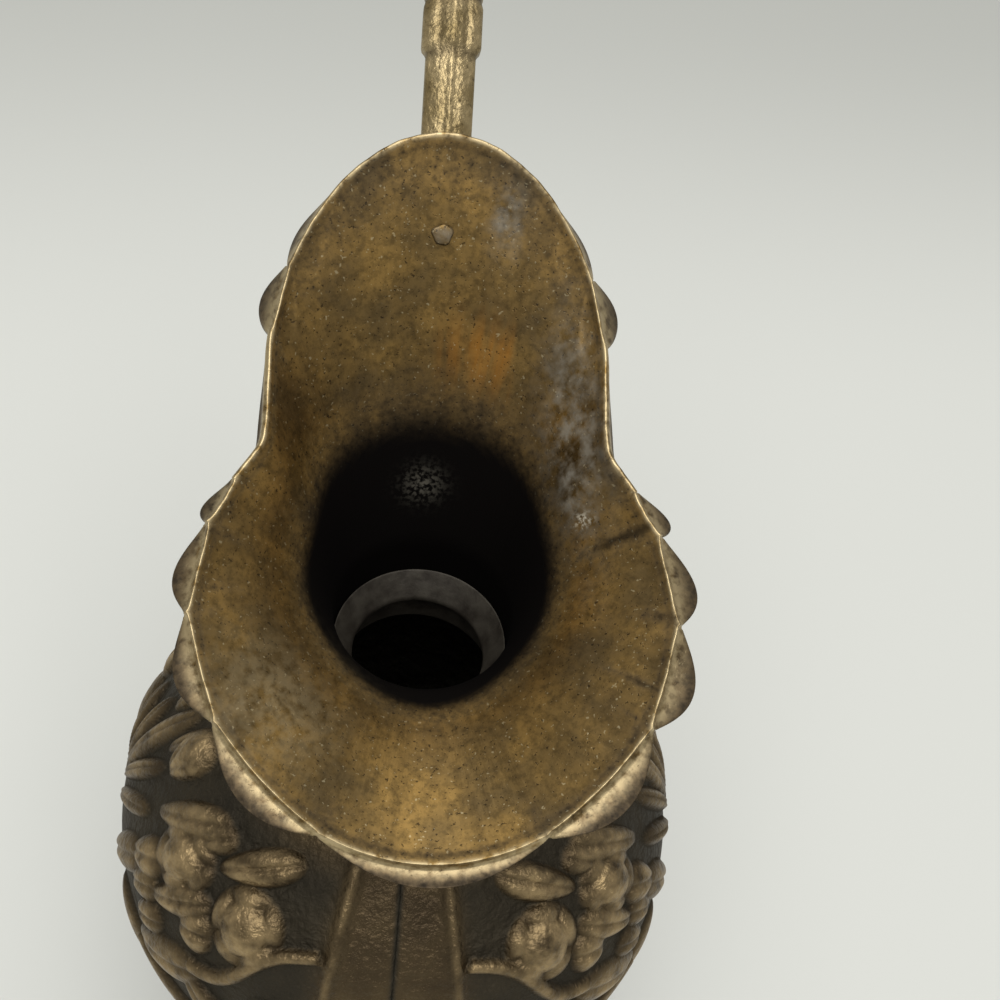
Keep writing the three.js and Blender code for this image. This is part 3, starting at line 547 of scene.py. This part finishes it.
def mouth_looks(points, turn, below, lengths, inner):
    """Shares of the looks at each point from its place: sooty dirt and painted shade, a painted reflection
    and lime inside, and bronzing outside.
    """
    side, back, height = np.moveaxis(points, -1, 0)
    arch = lobes(turn)[2]
    # Sooty dirt and painted shade darken the wall down into the throat
    soot_and_shade_rise = np.moveaxis(SOOT_AND_SHADE_SIDES + SOOT_AND_SHADE_BEHIND * np.sin(turn)[..., None], -1, 0)
    soot_and_shade = smooth(lengths - below, *soot_and_shade_rise)
    creases = CREASE_DARKENING * bump(arch, 0, CREASE_ARCH) * smooth(below, *CREASE_RISE)
    # The line under the rim's edge is painted shade with some dirt; creases, folds and the tongue's tip are
    # darkened as well
    grime_and_shade = np.maximum(EDGE_SHADE_AND_GRIME * bump(below, *EDGE_SHADE_AND_GRIME_BELOW), creases)
    for degrees, reach, width, share in FOLDS:
        off = turn - np.radians(degrees)
        off = np.degrees(np.arctan2(np.sin(off), np.cos(off)))
        fold = share * bump(off, 0, width) * smooth(below, reach, FOLD_WHOLE * reach)
        grime_and_shade = np.maximum(grime_and_shade, fold)
    grime_and_shade = np.maximum(grime_and_shade, TIP_DARKENING * smooth(below, *TIP_RISE) * smooth(back, *TIP_RISE_BEHIND))
    scallops = SCALLOP_DARKENING * arch * bump(below, *SCALLOP_BELOW)
    lime = sum(share * oval(side, height, *place) for share, place in LIME_SPOTS)
    chalk = oval(back, height, *CHALK_CRUST) * (side > 0)
    chalk = chalk + CHALK_TRACE * oval(side, height, *CHALK_TRACE_PLACE) * (back > 0)
    # Painted orange reflection on the tongue's inner face, right of its middle
    painted_reflection = PAINTED_REFLECTION * smooth(side, *PAINTED_REFLECTION_RISE) * smooth(side, *PAINTED_REFLECTION_EDGE_RISE)
    painted_reflection = painted_reflection * bump(height, *PAINTED_REFLECTION_HEIGHT) * (back > 0)
    rubbed = bump(below, 0, np.where(inner > 0, RIM_RUB_INSIDE, RIM_RUB_OUTSIDE))
    return {"wall": polar(MARKS_RADIUS, turn, below * MARKS_STRETCH) * MM,
            "soot_and_shade": np.where(inner > 0, np.maximum(soot_and_shade, grime_and_shade), scallops),
            "lime": inner * lime,
            "chalk": inner * chalk,
            "painted_reflection": inner * painted_reflection,
            "outside": (1 - inner) * smooth(below, 0, BRONZED_BELOW),
            "rubbed": rubbed + FRONT_RUB * inner * oval(side, back, *FRONT_RUB_PLACE)}


def make_mouth():
    """Section up the inside, round over the sheet's edge and down the outside, carried round the axis."""
    angles = mouth_angles()
    lengths = flare_length(angles, np.zeros_like(angles))

    def rows(shares, start, end):
        """Distances below the rim, a row for each share of the way from start to end."""
        return start + np.outer(shares, (end - start) * np.ones_like(angles))

    flare_up = rows(np.linspace(1, 0, FLARE_ROWS_IN, endpoint=False), LOBE_DROP, lengths)
    hollow_up = rows(np.linspace(1, HOLLOW_TOP, HOLLOW_ROWS), 0, LOBE_DROP)
    lobe_down = rows(np.linspace(LOBE_TOP, 1, LOBE_ROWS), 0, LOBE_DROP)
    flare_down = rows(np.linspace(0, 1, FLARE_ROWS_OUT + 1)[1:], LOBE_DROP, lengths)
    inside = np.vstack([flare_up, hollow_up])
    outside = np.vstack([lobe_down, flare_down])
    inner = wall(angles, inside, 0.0, False)
    outer = wall(angles, outside, SHEET, True)
    rounding = np.linspace(*EDGE_SHARES, 5)[:, None]
    rim = 0 * rounding * lengths
    edge = wall(angles, rim, SHEET * rounding, False)
    ripple = sum(share * np.sin(waves * angles + shift) for share, waves, shift in EDGE_RIPPLES)
    edge[..., 2] += EDGE_CROWN * np.sin(np.pi * rounding) * (1 + ripple)
    neck = np.linspace(NECK_BOTTOM, NECK_TOP, NECK_ROWS + 1)[:-1, None] + 0 * angles
    neck_in = polar(NECK_RADIUS, angles, neck)
    neck_out = polar(NECK_RADIUS + SHEET, angles, neck[::-1])
    points = np.concatenate([neck_in, inner, edge, outer, neck_out])
    past = np.tile(lengths, (NECK_ROWS, 1))
    below = np.vstack([past + NECK_TOP - NECK_BOTTOM, inside, rim, outside, past])
    is_inner = (np.arange(len(points)) < NECK_ROWS + len(inner))[:, None].astype(float)
    turn = np.broadcast_to(angles, below.shape)
    looks = mouth_looks(points, turn, below, lengths, is_inner)
    surface("mouth_sheet", points, "mouth", sheet_brass, looks=looks)


make_mouth()


# Turned pieces
# Share of the shorter side beside a corner that its rounding may take up
CORNER_ROOM = 0.45


def turned(name, outline, node, made, columns=160, looks=None):
    """A closed outline of radius and height carried once round the axis."""
    outline = np.asarray(outline, float)
    angle = np.linspace(0, 2 * np.pi, columns, endpoint=False)
    points = polar(outline[:, :1], angle[None], outline[:, 1:] + 0 * angle)
    surface(name, points, node, made, looks=looks)


def rounded(outline, radius, steps=4):
    """A closed outline with each corner replaced by a small curve between points a radius away from it."""
    outline = np.asarray(outline, float)
    before = np.roll(outline, 1, 0) - outline
    after = np.roll(outline, -1, 0) - outline
    shorter = np.minimum(np.linalg.norm(before, axis=1), np.linalg.norm(after, axis=1))
    reach = np.minimum(radius, CORNER_ROOM * shorter)[:, None]
    starts = (outline + unit(before) * reach)[:, None]
    ends = (outline + unit(after) * reach)[:, None]
    share = np.broadcast_to(np.linspace(0, 1, steps), (len(outline), steps))
    return bezier([starts, outline[:, None], ends], share).reshape(-1, 2)


COLLAR_OUTER = NECK_RADIUS - SOLDER
COLLAR_INNER = COLLAR_OUTER - 1
COLLAR_BOTTOM = BODY_TOP - 6
COLLAR_LEDGE = NECK_BOTTOM + 3
COLLAR_UNDER = COLLAR_LEDGE - 1
COLLAR_RIM = COLLAR_LEDGE + 4.5
COLLAR_HOLE = 11.7
COLLAR_ROUNDING = 0.5
collar = [(COLLAR_OUTER, COLLAR_BOTTOM), (COLLAR_OUTER, COLLAR_RIM), (COLLAR_HOLE, COLLAR_LEDGE),
          (COLLAR_HOLE, COLLAR_UNDER), (COLLAR_INNER, COLLAR_UNDER), (COLLAR_INNER, COLLAR_BOTTOM)]
turned("neck_collar_spun", rounded(collar, COLLAR_ROUNDING), "neck_collar", dusty_brass)

BAND_INNER = NECK_RADIUS + SHEET + SOLDER
BAND_RADIUS = 2.2
lean = half_turn(24)
band = np.stack([BAND_INNER + BAND_RADIUS * np.cos(lean),
                 NECK_BOTTOM + BAND_RADIUS * (1 + np.sin(lean))], axis=1)
turned("neck_band_wire", band, "neck_band", body_brass, looks={"rubbed": 0.6, "dirt": 0.15})

# Body: two stamped halves with flutes on the bowl and embossed sprays on the shoulder
BODY_RADIUS = 55.5
BELLY = BODY_BOTTOM + 65
SHOULDER_FULLNESS = 33
NECK_HOLLOW = 13.5
BOWL_FULLNESS = 32
BASE_RADIUS = 12.5
BASE_SWEEP = (17.5, 17)
FLUTE_COUNT = 16
FLUTE_DEPTH = 1.6
FLUTE_HEIGHT = 54
BODY_TWIST = np.radians(-3)
SEAM_SLIT = 0.02
SEAM_GROOVE_WIDTH = 0.6
SEAM_GROOVE_DEPTH = 0.5
STUD_HOLE = 3.3
# Where the sprays begin and end, as distance down the profile from the neck
SPRAY_TOP = 18
SPRAY_END = 84
# Ridges beside the panels: degrees from the seam, height, width, and how far down they rise and fade
PANEL_DEGREES = 14
PANEL_HEIGHT = 1.5
PANEL_WIDTH = 1.5
PANEL_RISE = (18, 26)
PANEL_FADE = (78, 90)
# Rows of the grid above, in and below the sprays, how many of them make one row inside, and columns: at
# distances from the seam, and spread between from this angle off it
ROWS_ABOVE = 13
ROWS_IN_SPRAYS = 189
ROWS_BELOW = 50
ROWS_PER_INNER = 6
SEAM_COLUMNS = np.array([0, 0.3, 0.6, 0.9, 1.3])
BODY_COLUMNS = 330
COLUMNS_OFF_SEAM = 0.03
# Dirt on the ground between ornaments: how far down it rises and fades, the ornament's height and the cosine
# of the angle from the side where it rises, and its strength there, in the seam and inside
GROUND_RISE = (22, 30)
GROUND_FADE = (84, 92)
GROUND_BY_HEIGHT = (0.9, 0.1)
GROUND_OFF_SEAM = (0.2, 0.35)
GROUND_DIRT = 0.75
SEAM_DIRT = 0.9
INNER_DIRT = 0.9
# Height of an ornament where it begins to be rubbed and where it is wholly rubbed
RUBBED_BY_HEIGHT = (0.8, 2.4)


def body_profile():
    """Outer radius and height from neck to base: one curve over the shoulder and one round the bowl."""
    neck = np.array([NECK_RADIUS + SHEET, BODY_TOP])
    belly = np.array([BODY_RADIUS, BELLY])
    base = np.array([BASE_RADIUS, BODY_BOTTOM])
    share = np.linspace(0, 1, 400)
    shoulder = bezier([neck, neck - (0, NECK_HOLLOW), belly + (0, SHOULDER_FULLNESS), belly], share)
    bowl = bezier([belly, belly - (0, BOWL_FULLNESS), base + BASE_SWEEP, base], share)
    return np.vstack([shoulder, bowl[1:]])


# Ornaments of one spray: kind, degrees round from the seam, distance down from the neck, half length,
# half width, lean in degrees from level, and height
SPRAY = [
    ("bud", 78, 35, 6.5, 5, 90, 3),
    ("leaf", 90, 47, 15, 2.6, 90, 2),
    ("leaf", 85, 52, 10, 2, 68, 1.9),
    ("leaf", 80, 56, 9, 2, 48, 1.8),
    ("leaf", 83, 36, 6, 2, 80, 1.8),
    ("leaf", 63, 39, 10, 3.5, 45, 2.2),
    ("flower", 57, 44.5, 7.6, 6.5, 40, 3.2),
    ("petal", 53.5, 36, 4.7, 2.8, 50, 2),
    ("petal", 65, 53, 5.2, 4, 40, 2.4),
    ("petal", 62, 58, 4.7, 3.2, 40, 2),
    ("petal", 57, 62, 4.7, 3.2, 30, 2),
    ("leaf", 52, 51, 8.3, 3.2, 40, 2.4),
    ("leaf", 39.5, 33.5, 9, 3.5, 40, 2.6),
    ("flower", 35, 44.5, 7.3, 7.8, 0, 3.4),
    ("petal", 45, 52.5, 4.2, 4.2, 20, 2.4),
    ("ridge", 31, 51.5, 14.2, 4, 38, 1.8),
    ("leaf", 72, 62, 8.3, 3.8, 50, 2),
    ("leaf", 50, 66, 10.6, 4.5, 30, 2.2),
    ("leaf", 36, 68, 9.4, 4.2, -30, 2),
    ("petal", 24, 60, 4.7, 3.8, 0, 1.8),
    ("bud", 28, 74, 5.9, 4.4, 70, 2),
    ("scroll", 46, 77, 13, 6.2, -10, 1.8),
    ("leaf", 64, 76, 9.4, 3.8, -35, 2),
]


def dome(squared):
    """Half sphere of height 1, from the square of the distance to its middle."""
    return np.sqrt(np.maximum(1 - squared, 0))


def petal_form(along, across):
    """Dome on an oval that comes to a blunt point, with a vein sunk down its middle."""
    taper = np.maximum(1 - 0.35 * along, 0.2)
    vein = 0.3 * bump(across, 0, 0.16)
    return dome(along ** 2 + (across / taper) ** 2) * (1 - vein)


def bud_form(along, across):
    """Smooth egg with two creases towards its tip."""
    crease = bump(np.abs(across), 0.4 * (1 - along), 0.1) * smooth(along, -0.2, 0.5)
    return dome(along ** 2 + (across * (1.1 + 0.3 * along)) ** 2) * (1 - 0.25 * crease)


def flower_form(along, across):
    """Raised round centre in a ring of five domed petals."""
    radius = np.hypot(along, across)
    centre = dome((radius / 0.72) ** 2)
    fold = np.abs(np.cos(2.5 * np.arctan2(across, along)))
    petals = dome(((radius - 0.68) / 0.36) ** 2) * (0.35 + 0.65 * fold ** 0.6)
    return np.maximum(centre, 0.6 * petals)


def scroll_form(along, across):
    """Half-round band bent to an arch, thicker at its middle."""
    line = across - 0.5 * np.cos(np.pi * along / 2) + 0.25
    width = 0.42 - 0.14 * np.abs(along)
    return np.where(np.abs(along) < 1, dome((line / width) ** 2), 0)


def ridge_form(along, across):
    """Thin half-round line bent to an S."""
    line = across - 0.45 * np.sin(np.pi * along)
    return np.where(np.abs(along) < 1, dome((line / 0.4) ** 2), 0)


FORMS = {"leaf": petal_form, "petal": petal_form, "bud": bud_form, "flower": flower_form,
         "scroll": scroll_form, "ridge": ridge_form}


def seam_degrees(turn):
    """Degrees round the body from the nearer of its two seams."""
    from_front = np.abs(np.degrees(np.arctan2(np.sin(turn - FRONT), np.cos(turn - FRONT))))
    return np.where(from_front > 90, 180 - from_front, from_front)


def spray_height(turn, down, radius):
    """Height of the embossing: the highest ornament at each point. Sprays lie beside both seams."""
    from_seam = seam_degrees(turn)
    height = np.zeros_like(turn)
    for kind, place, fall, length, width, lean_degrees, rise in SPRAY:
        lean_angle = np.radians(lean_degrees)
        level = np.radians(from_seam - place) * radius
        drop = down - fall
        along = (level * np.cos(lean_angle) + drop * np.sin(lean_angle)) / length
        across = (-level * np.sin(lean_angle) + drop * np.cos(lean_angle)) / width
        near = (np.abs(along) < 1.2) & (np.abs(across) < 1.6)
        height = np.where(near, np.maximum(height, rise * FORMS[kind](along, across)), height)
    return height


def panel_height(turn, down, radius):
    """Two upright ridges that frame the plain panel at each seam."""
    off = np.radians(seam_degrees(turn) - PANEL_DEGREES) * radius
    fade = smooth(down, *PANEL_RISE) * (1 - smooth(down, *PANEL_FADE))
    return PANEL_HEIGHT * bump(off, 0, PANEL_WIDTH) * fade


def make_body(side, node):
    """Half of the wall from seam to seam: outer profile with flutes and embossing, floor, and inner profile.

    The halves all but meet in the solder of the seam, which is sunk in a groove outside.
    """
    profile = body_profile()
    down = np.concatenate([np.linspace(0, SPRAY_TOP, ROWS_ABOVE, endpoint=False),
                           np.linspace(SPRAY_TOP, SPRAY_END, ROWS_IN_SPRAYS, endpoint=False),
                           np.linspace(SPRAY_END, run_along(profile)[-1], ROWS_BELOW)])
    outline = spread(profile, down)
    slope = unit(np.gradient(outline, down, axis=0))
    outward = np.stack([-slope[:, 1], slope[:, 0]], axis=1)
    inside = (outline - outward * SHEET)[outline[:, 1] > BODY_BOTTOM + 2 * SHEET][::ROWS_PER_INNER]
    floor_edge = np.array([[STUD_HOLE, BODY_BOTTOM], [STUD_HOLE, BODY_BOTTOM + SHEET]])
    middle = 0.0 if side > 0 else np.pi
    near_seam = SEAM_COLUMNS / BODY_RADIUS
    between_seams = np.linspace(-np.pi / 2 + COLUMNS_OFF_SEAM, np.pi / 2 - COLUMNS_OFF_SEAM, BODY_COLUMNS)
    angle = middle + np.concatenate([near_seam - np.pi / 2, between_seams, np.pi / 2 - near_seam[::-1]])
    radius = outline[:, :1]
    height = outline[:, 1:]
    turn = np.broadcast_to(angle, (len(outline), len(angle)))
    far = np.broadcast_to(down[:, None], turn.shape)
    flute_share = np.clip((height - BODY_BOTTOM) / FLUTE_HEIGHT, 0, 1)
    flutes = FLUTE_DEPTH * np.sin(np.pi * flute_share) * np.abs(np.sin(FLUTE_COUNT * turn / 2))
    ornament = np.maximum(spray_height(turn, far, radius), panel_height(turn, far, radius))
    groove = bump((np.pi / 2 - np.abs(turn - middle)) * radius, 0, SEAM_GROOVE_WIDTH)
    stand = flutes + ornament - SEAM_GROOVE_DEPTH * groove
    outer = polar(radius + outward[:, :1] * stand, turn, height + outward[:, 1:] * stand)
    rest = np.vstack([floor_edge, inside[::-1]])
    within = polar(rest[:, :1], angle[None], rest[:, 1:] + 0 * angle)
    x, y, z = np.moveaxis(np.concatenate([outer, within]), -1, 0)
    x = x + side * SEAM_SLIT / 2
    points = np.stack([x * np.cos(BODY_TWIST) - y * np.sin(BODY_TWIST),
                       x * np.sin(BODY_TWIST) + y * np.cos(BODY_TWIST), z], axis=-1)
    ground = smooth(far, *GROUND_RISE) * (1 - smooth(far, *GROUND_FADE))
    ground = ground * smooth(ornament, *GROUND_BY_HEIGHT)
    ground = GROUND_DIRT * ground * smooth(np.abs(np.cos(turn)), *GROUND_OFF_SEAM)
    blank = np.zeros((len(rest), len(angle)))
    looks = {"dirt": np.vstack([np.maximum(ground, SEAM_DIRT * groove), blank + INNER_DIRT]),
             "rubbed": np.vstack([smooth(ornament, *RUBBED_BY_HEIGHT), blank])}
    surface(f"{node}_embossed", points, node, body_brass, columns_closed=False, looks=looks)


make_body(-1, "body_left")
make_body(1, "body_right")

# Foot and stem
STEM_RADIUS = 10.4
KNOP_BOTTOM = 26.3
KNOP_TOP = 40.3
KNOP_RADIUS = 14.5
KNOP_COLLAR = 2
KNOP_MIDDLE = (KNOP_BOTTOM + KNOP_TOP) / 2
lean = half_turn(30)
bulge = np.stack([STEM_RADIUS + (KNOP_RADIUS - STEM_RADIUS) * np.cos(lean),
                  KNOP_MIDDLE + ((KNOP_TOP - KNOP_BOTTOM) / 2 - KNOP_COLLAR) * np.sin(lean)], axis=1)
knop = np.vstack([[(STEM_RADIUS, KNOP_BOTTOM)], bulge,
                  [(STEM_RADIUS, KNOP_TOP), (STUD_HOLE, KNOP_TOP), (STUD_HOLE, KNOP_BOTTOM)]])
turned("stem_knop_turned", knop, "stem_knop", body_brass, looks={"rubbed": 0.5, "dirt": 0.1})

FOOT_RADIUS = 41
FOOT_HEIGHT = 26
FOOT_WALL = 1.6
FOOT_PLATE = 2.5
FOOT_LAND = 4
FOOT_EDGE = 3.5
FOOT_CHAMFER = 0.4
FOOT_STEP = (7, 3)
FOOT_TRUMPET = 12


def make_foot():
    """A trumpet that swells into a rounded step, hollow below, with a plate under the stem."""
    step = np.array([FOOT_RADIUS - FOOT_STEP[0], FOOT_EDGE + FOOT_STEP[1]])
    top = np.array([STEM_RADIUS, FOOT_HEIGHT])
    controls = [top, top - (0, FOOT_TRUMPET), step + (-FOOT_TRUMPET, FOOT_STEP[1]), step]
    trumpet = bezier(controls, np.linspace(0, 1, 40))
    quarter = np.linspace(np.pi / 2, 0, 16)
    round_ = np.stack([step[0] + FOOT_STEP[0] * np.cos(quarter),
                       FOOT_EDGE + FOOT_STEP[1] * np.sin(quarter)], axis=1)
    outer = np.vstack([trumpet, round_[1:]])
    slope = unit(np.gradient(outer, axis=0))
    under = outer + np.stack([slope[:, 1], -slope[:, 0]], axis=1) * FOOT_WALL
    ceiling = FOOT_HEIGHT - FOOT_PLATE
    land = FOOT_RADIUS - FOOT_LAND
    under = under[(under[:, 1] < ceiling) & (under[:, 0] < land)]
    ring = [(FOOT_RADIUS, FOOT_CHAMFER), (FOOT_RADIUS - FOOT_CHAMFER, 0), (land, 0)]
    plate = [(STEM_RADIUS - FOOT_WALL, ceiling), (STUD_HOLE, ceiling), (STUD_HOLE, FOOT_HEIGHT)]
    outline = np.vstack([outer, ring, under[::-1], plate])
    turned("foot_spun", outline, "foot", body_brass, columns=200, looks={"rubbed": 0.45, "dirt": 0.12})


make_foot()

# Handle
PAD_LENGTH = 20
HANDLE_WIDTH = 8.2
HANDLE_DEPTH = 6.5
SHEATH_START = 32
SHEATH_LENGTH = 10
SHEATH_WIDTH = 9.8
SHEATH_DEPTH = 8
GROOVE_WIDTH = 1.5
GROOVE_DEPTH = 0.8
HANDLE_RISE = 9
HANDLE_REACH = 48
HANDLE_SEAT = BELLY + 20
VOLUTE_RADIUS = 8
VOLUTE_WIDTH = 10
VOLUTE_EYE = 4
VOLUTE_BITE = 0.8
VOLUTE_HALF_TURNS = 1.35
HANDLE_ROWS = 420
# Shares of the handle's reach, height and length: where the crest, its sideways lean and the farthest point
# lie, how far the waist sags, where the sheath has slimmed down, and where the volute's width begins and is
# full
CREST_SHARE = 0.6
CREST_LEAN = 1 / 3
FARTHEST_SHARE = 0.8
WAIST_SAG = 0.06
SLIM_SHARE = 0.6
CURL_START = 0.65
CURL_END = 0.8
# Section in shares of half its width and depth, the rounding of its corners, the ridge along its top and the
# hollows beside that, as places and widths, with height and depth in millimetres
HANDLE_SECTION = np.array([[0, 1], [0.5, 0.86], [1, 0.4], [1, -0.4], [0.5, -0.95],
                           [-0.5, -0.95], [-1, -0.4], [-1, 0.4], [-0.5, 0.86]])
SECTION_ROUNDING = 0.22
RIDGE_WIDTH = 0.09
RIDGE_RISE = 0.45
SUNK_PLACE = 0.45
SUNK_WIDTH = 0.14
SUNK_DEPTH = 0.5
# Strength of the dirt in the groove, in the hollows and at the sheath's start, and its width there
GROOVE_DIRT = 0.8
SUNK_DIRT = 0.25
START_DIRT = 0.6
START_DIRT_WIDTH = 0.8


def through(points, per_span=60):
    """Centripetal Catmull-Rom curve through points: each span blends its four neighbours by their knots."""
    points = np.asarray(points, float)
    ends = np.vstack([2 * points[0] - points[1], points, 2 * points[-1] - points[-2]])
    knots = np.concatenate([[0], np.cumsum(np.linalg.norm(np.diff(ends, axis=0), axis=1) ** 0.5)])
    spans = []
    for i in range(1, len(ends) - 2):
        at = np.linspace(knots[i], knots[i + 1], per_span, endpoint=i == len(ends) - 3)[:, None]
        level = [ends[i - 1 + j] for j in range(4)]
        for depth in range(1, 4):
            level = [(level[j] * (knots[i - 1 + j + depth] - at) + level[j + 1] * (at - knots[i - 1 + j]))
                     / (knots[i - 1 + j + depth] - knots[i - 1 + j]) for j in range(4 - depth)]
        spans.append(level[0])
    return np.vstack(spans)


def handle_path():
    """Centre line: up the back of the tongue, over, down and into a volute on the body's back seam."""
    back = np.full(2, BACK)
    share = share_below(back, np.array([PAD_LENGTH, PAD_LENGTH / 4]))
    pad = flare_point(back, share) + flare_normal(back, share) * (SHEET + HANDLE_DEPTH / 2)
    profile = body_profile()
    curl = VOLUTE_RADIUS + HANDLE_DEPTH / 2
    lean = half_turn(17)
    body_reach = np.interp(-HANDLE_SEAT - curl * np.sin(lean), -profile[:, 1], profile[:, 0])
    reach = body_reach + curl * np.cos(lean)
    seam = np.array([-np.sin(BODY_TWIST), np.cos(BODY_TWIST), 0])
    upright = np.array([0, 0, 1])
    eye = seam * (reach.max() + SOLDER - VOLUTE_BITE) + (0, 0, HANDLE_SEAT)
    tip = np.array([rim_reach(np.array(BACK)), NECK_BOTTOM + TONGUE_HEIGHT])
    crest = np.array([CREST_LEAN * eye[0], tip[0] + CREST_SHARE * HANDLE_REACH, tip[1] + HANDLE_RISE])
    farthest = np.array([eye[0], tip[0] + HANDLE_REACH, eye[2] + FARTHEST_SHARE * (crest[2] - eye[2])])
    waist = (eye + farthest) / 2 - (0, 0, WAIST_SAG * (farthest[2] - eye[2]))
    share = np.linspace(0, 1, 7)
    turn = np.pi * (1 + VOLUTE_HALF_TURNS * share)
    spoke = VOLUTE_RADIUS + (VOLUTE_EYE - VOLUTE_RADIUS) * share
    volute = eye + seam * (spoke * np.cos(turn))[:, None] + upright * (spoke * np.sin(turn))[:, None]
    return through(np.vstack([pad, crest, farthest, waist, volute]))


def make_handle():
    """A ridged section carried along the path, wider in a sheath above the tongue and in the volute."""
    line = handle_path()
    length = run_along(line)[-1]
    at = np.linspace(0, length, HANDLE_ROWS)
    centre = spread(line, at)
    along = unit(np.gradient(centre, axis=0))
    outward = unit(np.stack([0 * at, -along[:, 2], along[:, 1]], axis=1))
    sheath_end = SHEATH_START + SHEATH_LENGTH
    sheathed = smooth(at, SHEATH_START, SHEATH_START + GROOVE_WIDTH)
    sheathed = sheathed * (1 - smooth(at, sheath_end, SLIM_SHARE * length))
    curled = smooth(at, CURL_START * length, CURL_END * length)
    groove = np.maximum(1 - np.abs(at - sheath_end) / GROOVE_WIDTH, 0)
    width = HANDLE_WIDTH + (SHEATH_WIDTH - HANDLE_WIDTH) * sheathed
    width = width + (VOLUTE_WIDTH - width) * curled - GROOVE_DEPTH * groove
    thick = HANDLE_DEPTH + (SHEATH_DEPTH - HANDLE_DEPTH) * sheathed - GROOVE_DEPTH * groove
    loop = rounded(HANDLE_SECTION, SECTION_ROUNDING, 6)
    is_top = loop[:, 1] > 0
    ridge = bump(loop[:, 0], 0, RIDGE_WIDTH) * is_top
    sunk = bump(np.abs(loop[:, 0]), SUNK_PLACE, SUNK_WIDTH) * is_top * sheathed[:, None]
    x = loop[None, :, 0] * width[:, None] / 2
    y = loop[None, :, 1] * thick[:, None] / 2 + RIDGE_RISE * ridge - SUNK_DEPTH * sunk
    points = centre[:, None] + np.array([1.0, 0, 0]) * x[..., None] + outward[:, None] * y[..., None]
    rings = GROOVE_DIRT * groove + START_DIRT * bump(at, SHEATH_START, START_DIRT_WIDTH)
    dirt = np.clip(rings[:, None] + SUNK_DIRT * sunk, 0, 1)
    surface("handle_cast", points, "handle", handle_brass, rows_closed=False, looks={"dirt": dirt})


make_handle()

# Rivet: rings of its hammered head and shank, as radius and distance out from the tongue's inner face, and
# the head's dents as share of its radius, waves round it and shift
RIVET_DROP = 16.0
RIVET_RINGS = np.array([[0.1, -0.5], [1.0, -0.48], [1.6, -0.42], [1.95, -0.32], [1.9, -0.28], [1.3, -0.25],
                        [1.3, 5]])
RIVET_HEAD_RINGS = 5
RIVET_DENTS = [(0.12, 3, 0.5), (0.1, 5, 0)]


def make_rivet():
    """A flat uneven head and a round shank, carried round the line that stands square on the tongue."""
    at_back = np.array([BACK])
    share = share_below(at_back, np.array([RIVET_DROP]))
    middle = flare_point(at_back, share)[0]
    out = flare_normal(at_back, share)[0]
    level = np.array([1.0, 0, 0])
    upward = np.cross(out, level)
    turn = np.linspace(0, 2 * np.pi, 48, endpoint=False)
    uneven = 1 - sum(dent * (1 + np.sin(waves * turn + shift)) / 2 for dent, waves, shift in RIVET_DENTS)
    head = (np.arange(len(RIVET_RINGS)) < RIVET_HEAD_RINGS)[:, None]
    radius = RIVET_RINGS[:, :1] * np.where(head, uneven, 1)
    spokes = np.cos(turn)[:, None] * level + np.sin(turn)[:, None] * upward
    points = middle + radius[..., None] * spokes + RIVET_RINGS[:, None, 1:] * out
    surface("handle_rivet_hammered", points, "handle_rivet", sheet_brass, rows_closed=False,
            looks={"lime": 0.5})


make_rivet()

for node in ("tie_stud", "upper_washer", "upper_nut", "lower_washer", "lower_nut"):
    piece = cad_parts[node]
    piece.data.materials.clear()
    piece.data.materials.append(iron)

# Floor, light and camera, in metres
FLOOR_HALF = 3
floor_mesh = bpy.data.meshes.new("floor")
corners = [(-FLOOR_HALF, -FLOOR_HALF, 0), (FLOOR_HALF, -FLOOR_HALF, 0),
           (FLOOR_HALF, FLOOR_HALF, 0), (-FLOOR_HALF, FLOOR_HALF, 0)]
floor_mesh.from_pydata(corners, [], [(0, 1, 2, 3)])
floor = bpy.data.objects.new("floor", floor_mesh)
bpy.context.collection.objects.link(floor)
floor_mesh.materials.append(pale_paper())

scene = bpy.context.scene
scene.view_settings.view_transform = "Standard"
world = bpy.data.worlds.new("soft_room")
scene.world = world
world.use_nodes = True
background = world.node_tree.nodes["Background"]
background.inputs["Color"].default_value = linear("#e6e6e4")
background.inputs["Strength"].default_value = 0.54


def lamp(name, place, target, size, power):
    """A square soft light that faces a target."""
    light = bpy.data.lights.new(name, "AREA")
    light.size = size
    light.energy = power
    holder = bpy.data.objects.new(name, light)
    bpy.context.collection.objects.link(holder)
    aim = (Vector(target) - Vector(place)).to_track_quat("-Z", "Y")
    holder.matrix_world = Matrix.Translation(place) @ aim.to_matrix().to_4x4()


LAMP_TARGET = (0, 0, 0.15)
lamp("window", (-0.05, -0.45, 1.35), LAMP_TARGET, 1.0, 13)
lamp("ceiling", (0.1, 0.5, 1.6), LAMP_TARGET, 1.2, 7.5)

# The camera looks down into the mouth from over the lip: bearing, elevation and roll in degrees,
# its place in millimetres from the middle of the neck hole, and a lens for a 36 mm sensor
BEARING = np.radians(-11.005)
ELEVATION = np.radians(51.382)
ROLL = np.radians(-10.5545)
CAMERA_PLACE = (-20.34, -154.17, 241.39)
LENS = 57.6
SENSOR = 36
away = np.array([np.sin(BEARING) * np.cos(ELEVATION), -np.cos(BEARING) * np.cos(ELEVATION),
                 np.sin(ELEVATION)])
right = unit(np.cross(-away, (0, 0, 1)))
up = np.cross(right, -away)
level_right = right * np.cos(ROLL) - up * np.sin(ROLL)
level_up = right * np.sin(ROLL) + up * np.cos(ROLL)
view = bpy.data.cameras.new("view")
view.lens = LENS
view.sensor_width = SENSOR
view.clip_start = 0.01
camera = bpy.data.objects.new("view", view)
bpy.context.collection.objects.link(camera)
camera_spot = np.array(CAMERA_PLACE) * MM + np.array([0, AXIS_Y, COLLAR_LEDGE * MM])
axes = np.column_stack([level_right, level_up, away])
camera.matrix_world = Matrix.Translation(camera_spot) @ Matrix(axes.tolist()).to_4x4()
scene.camera = camera
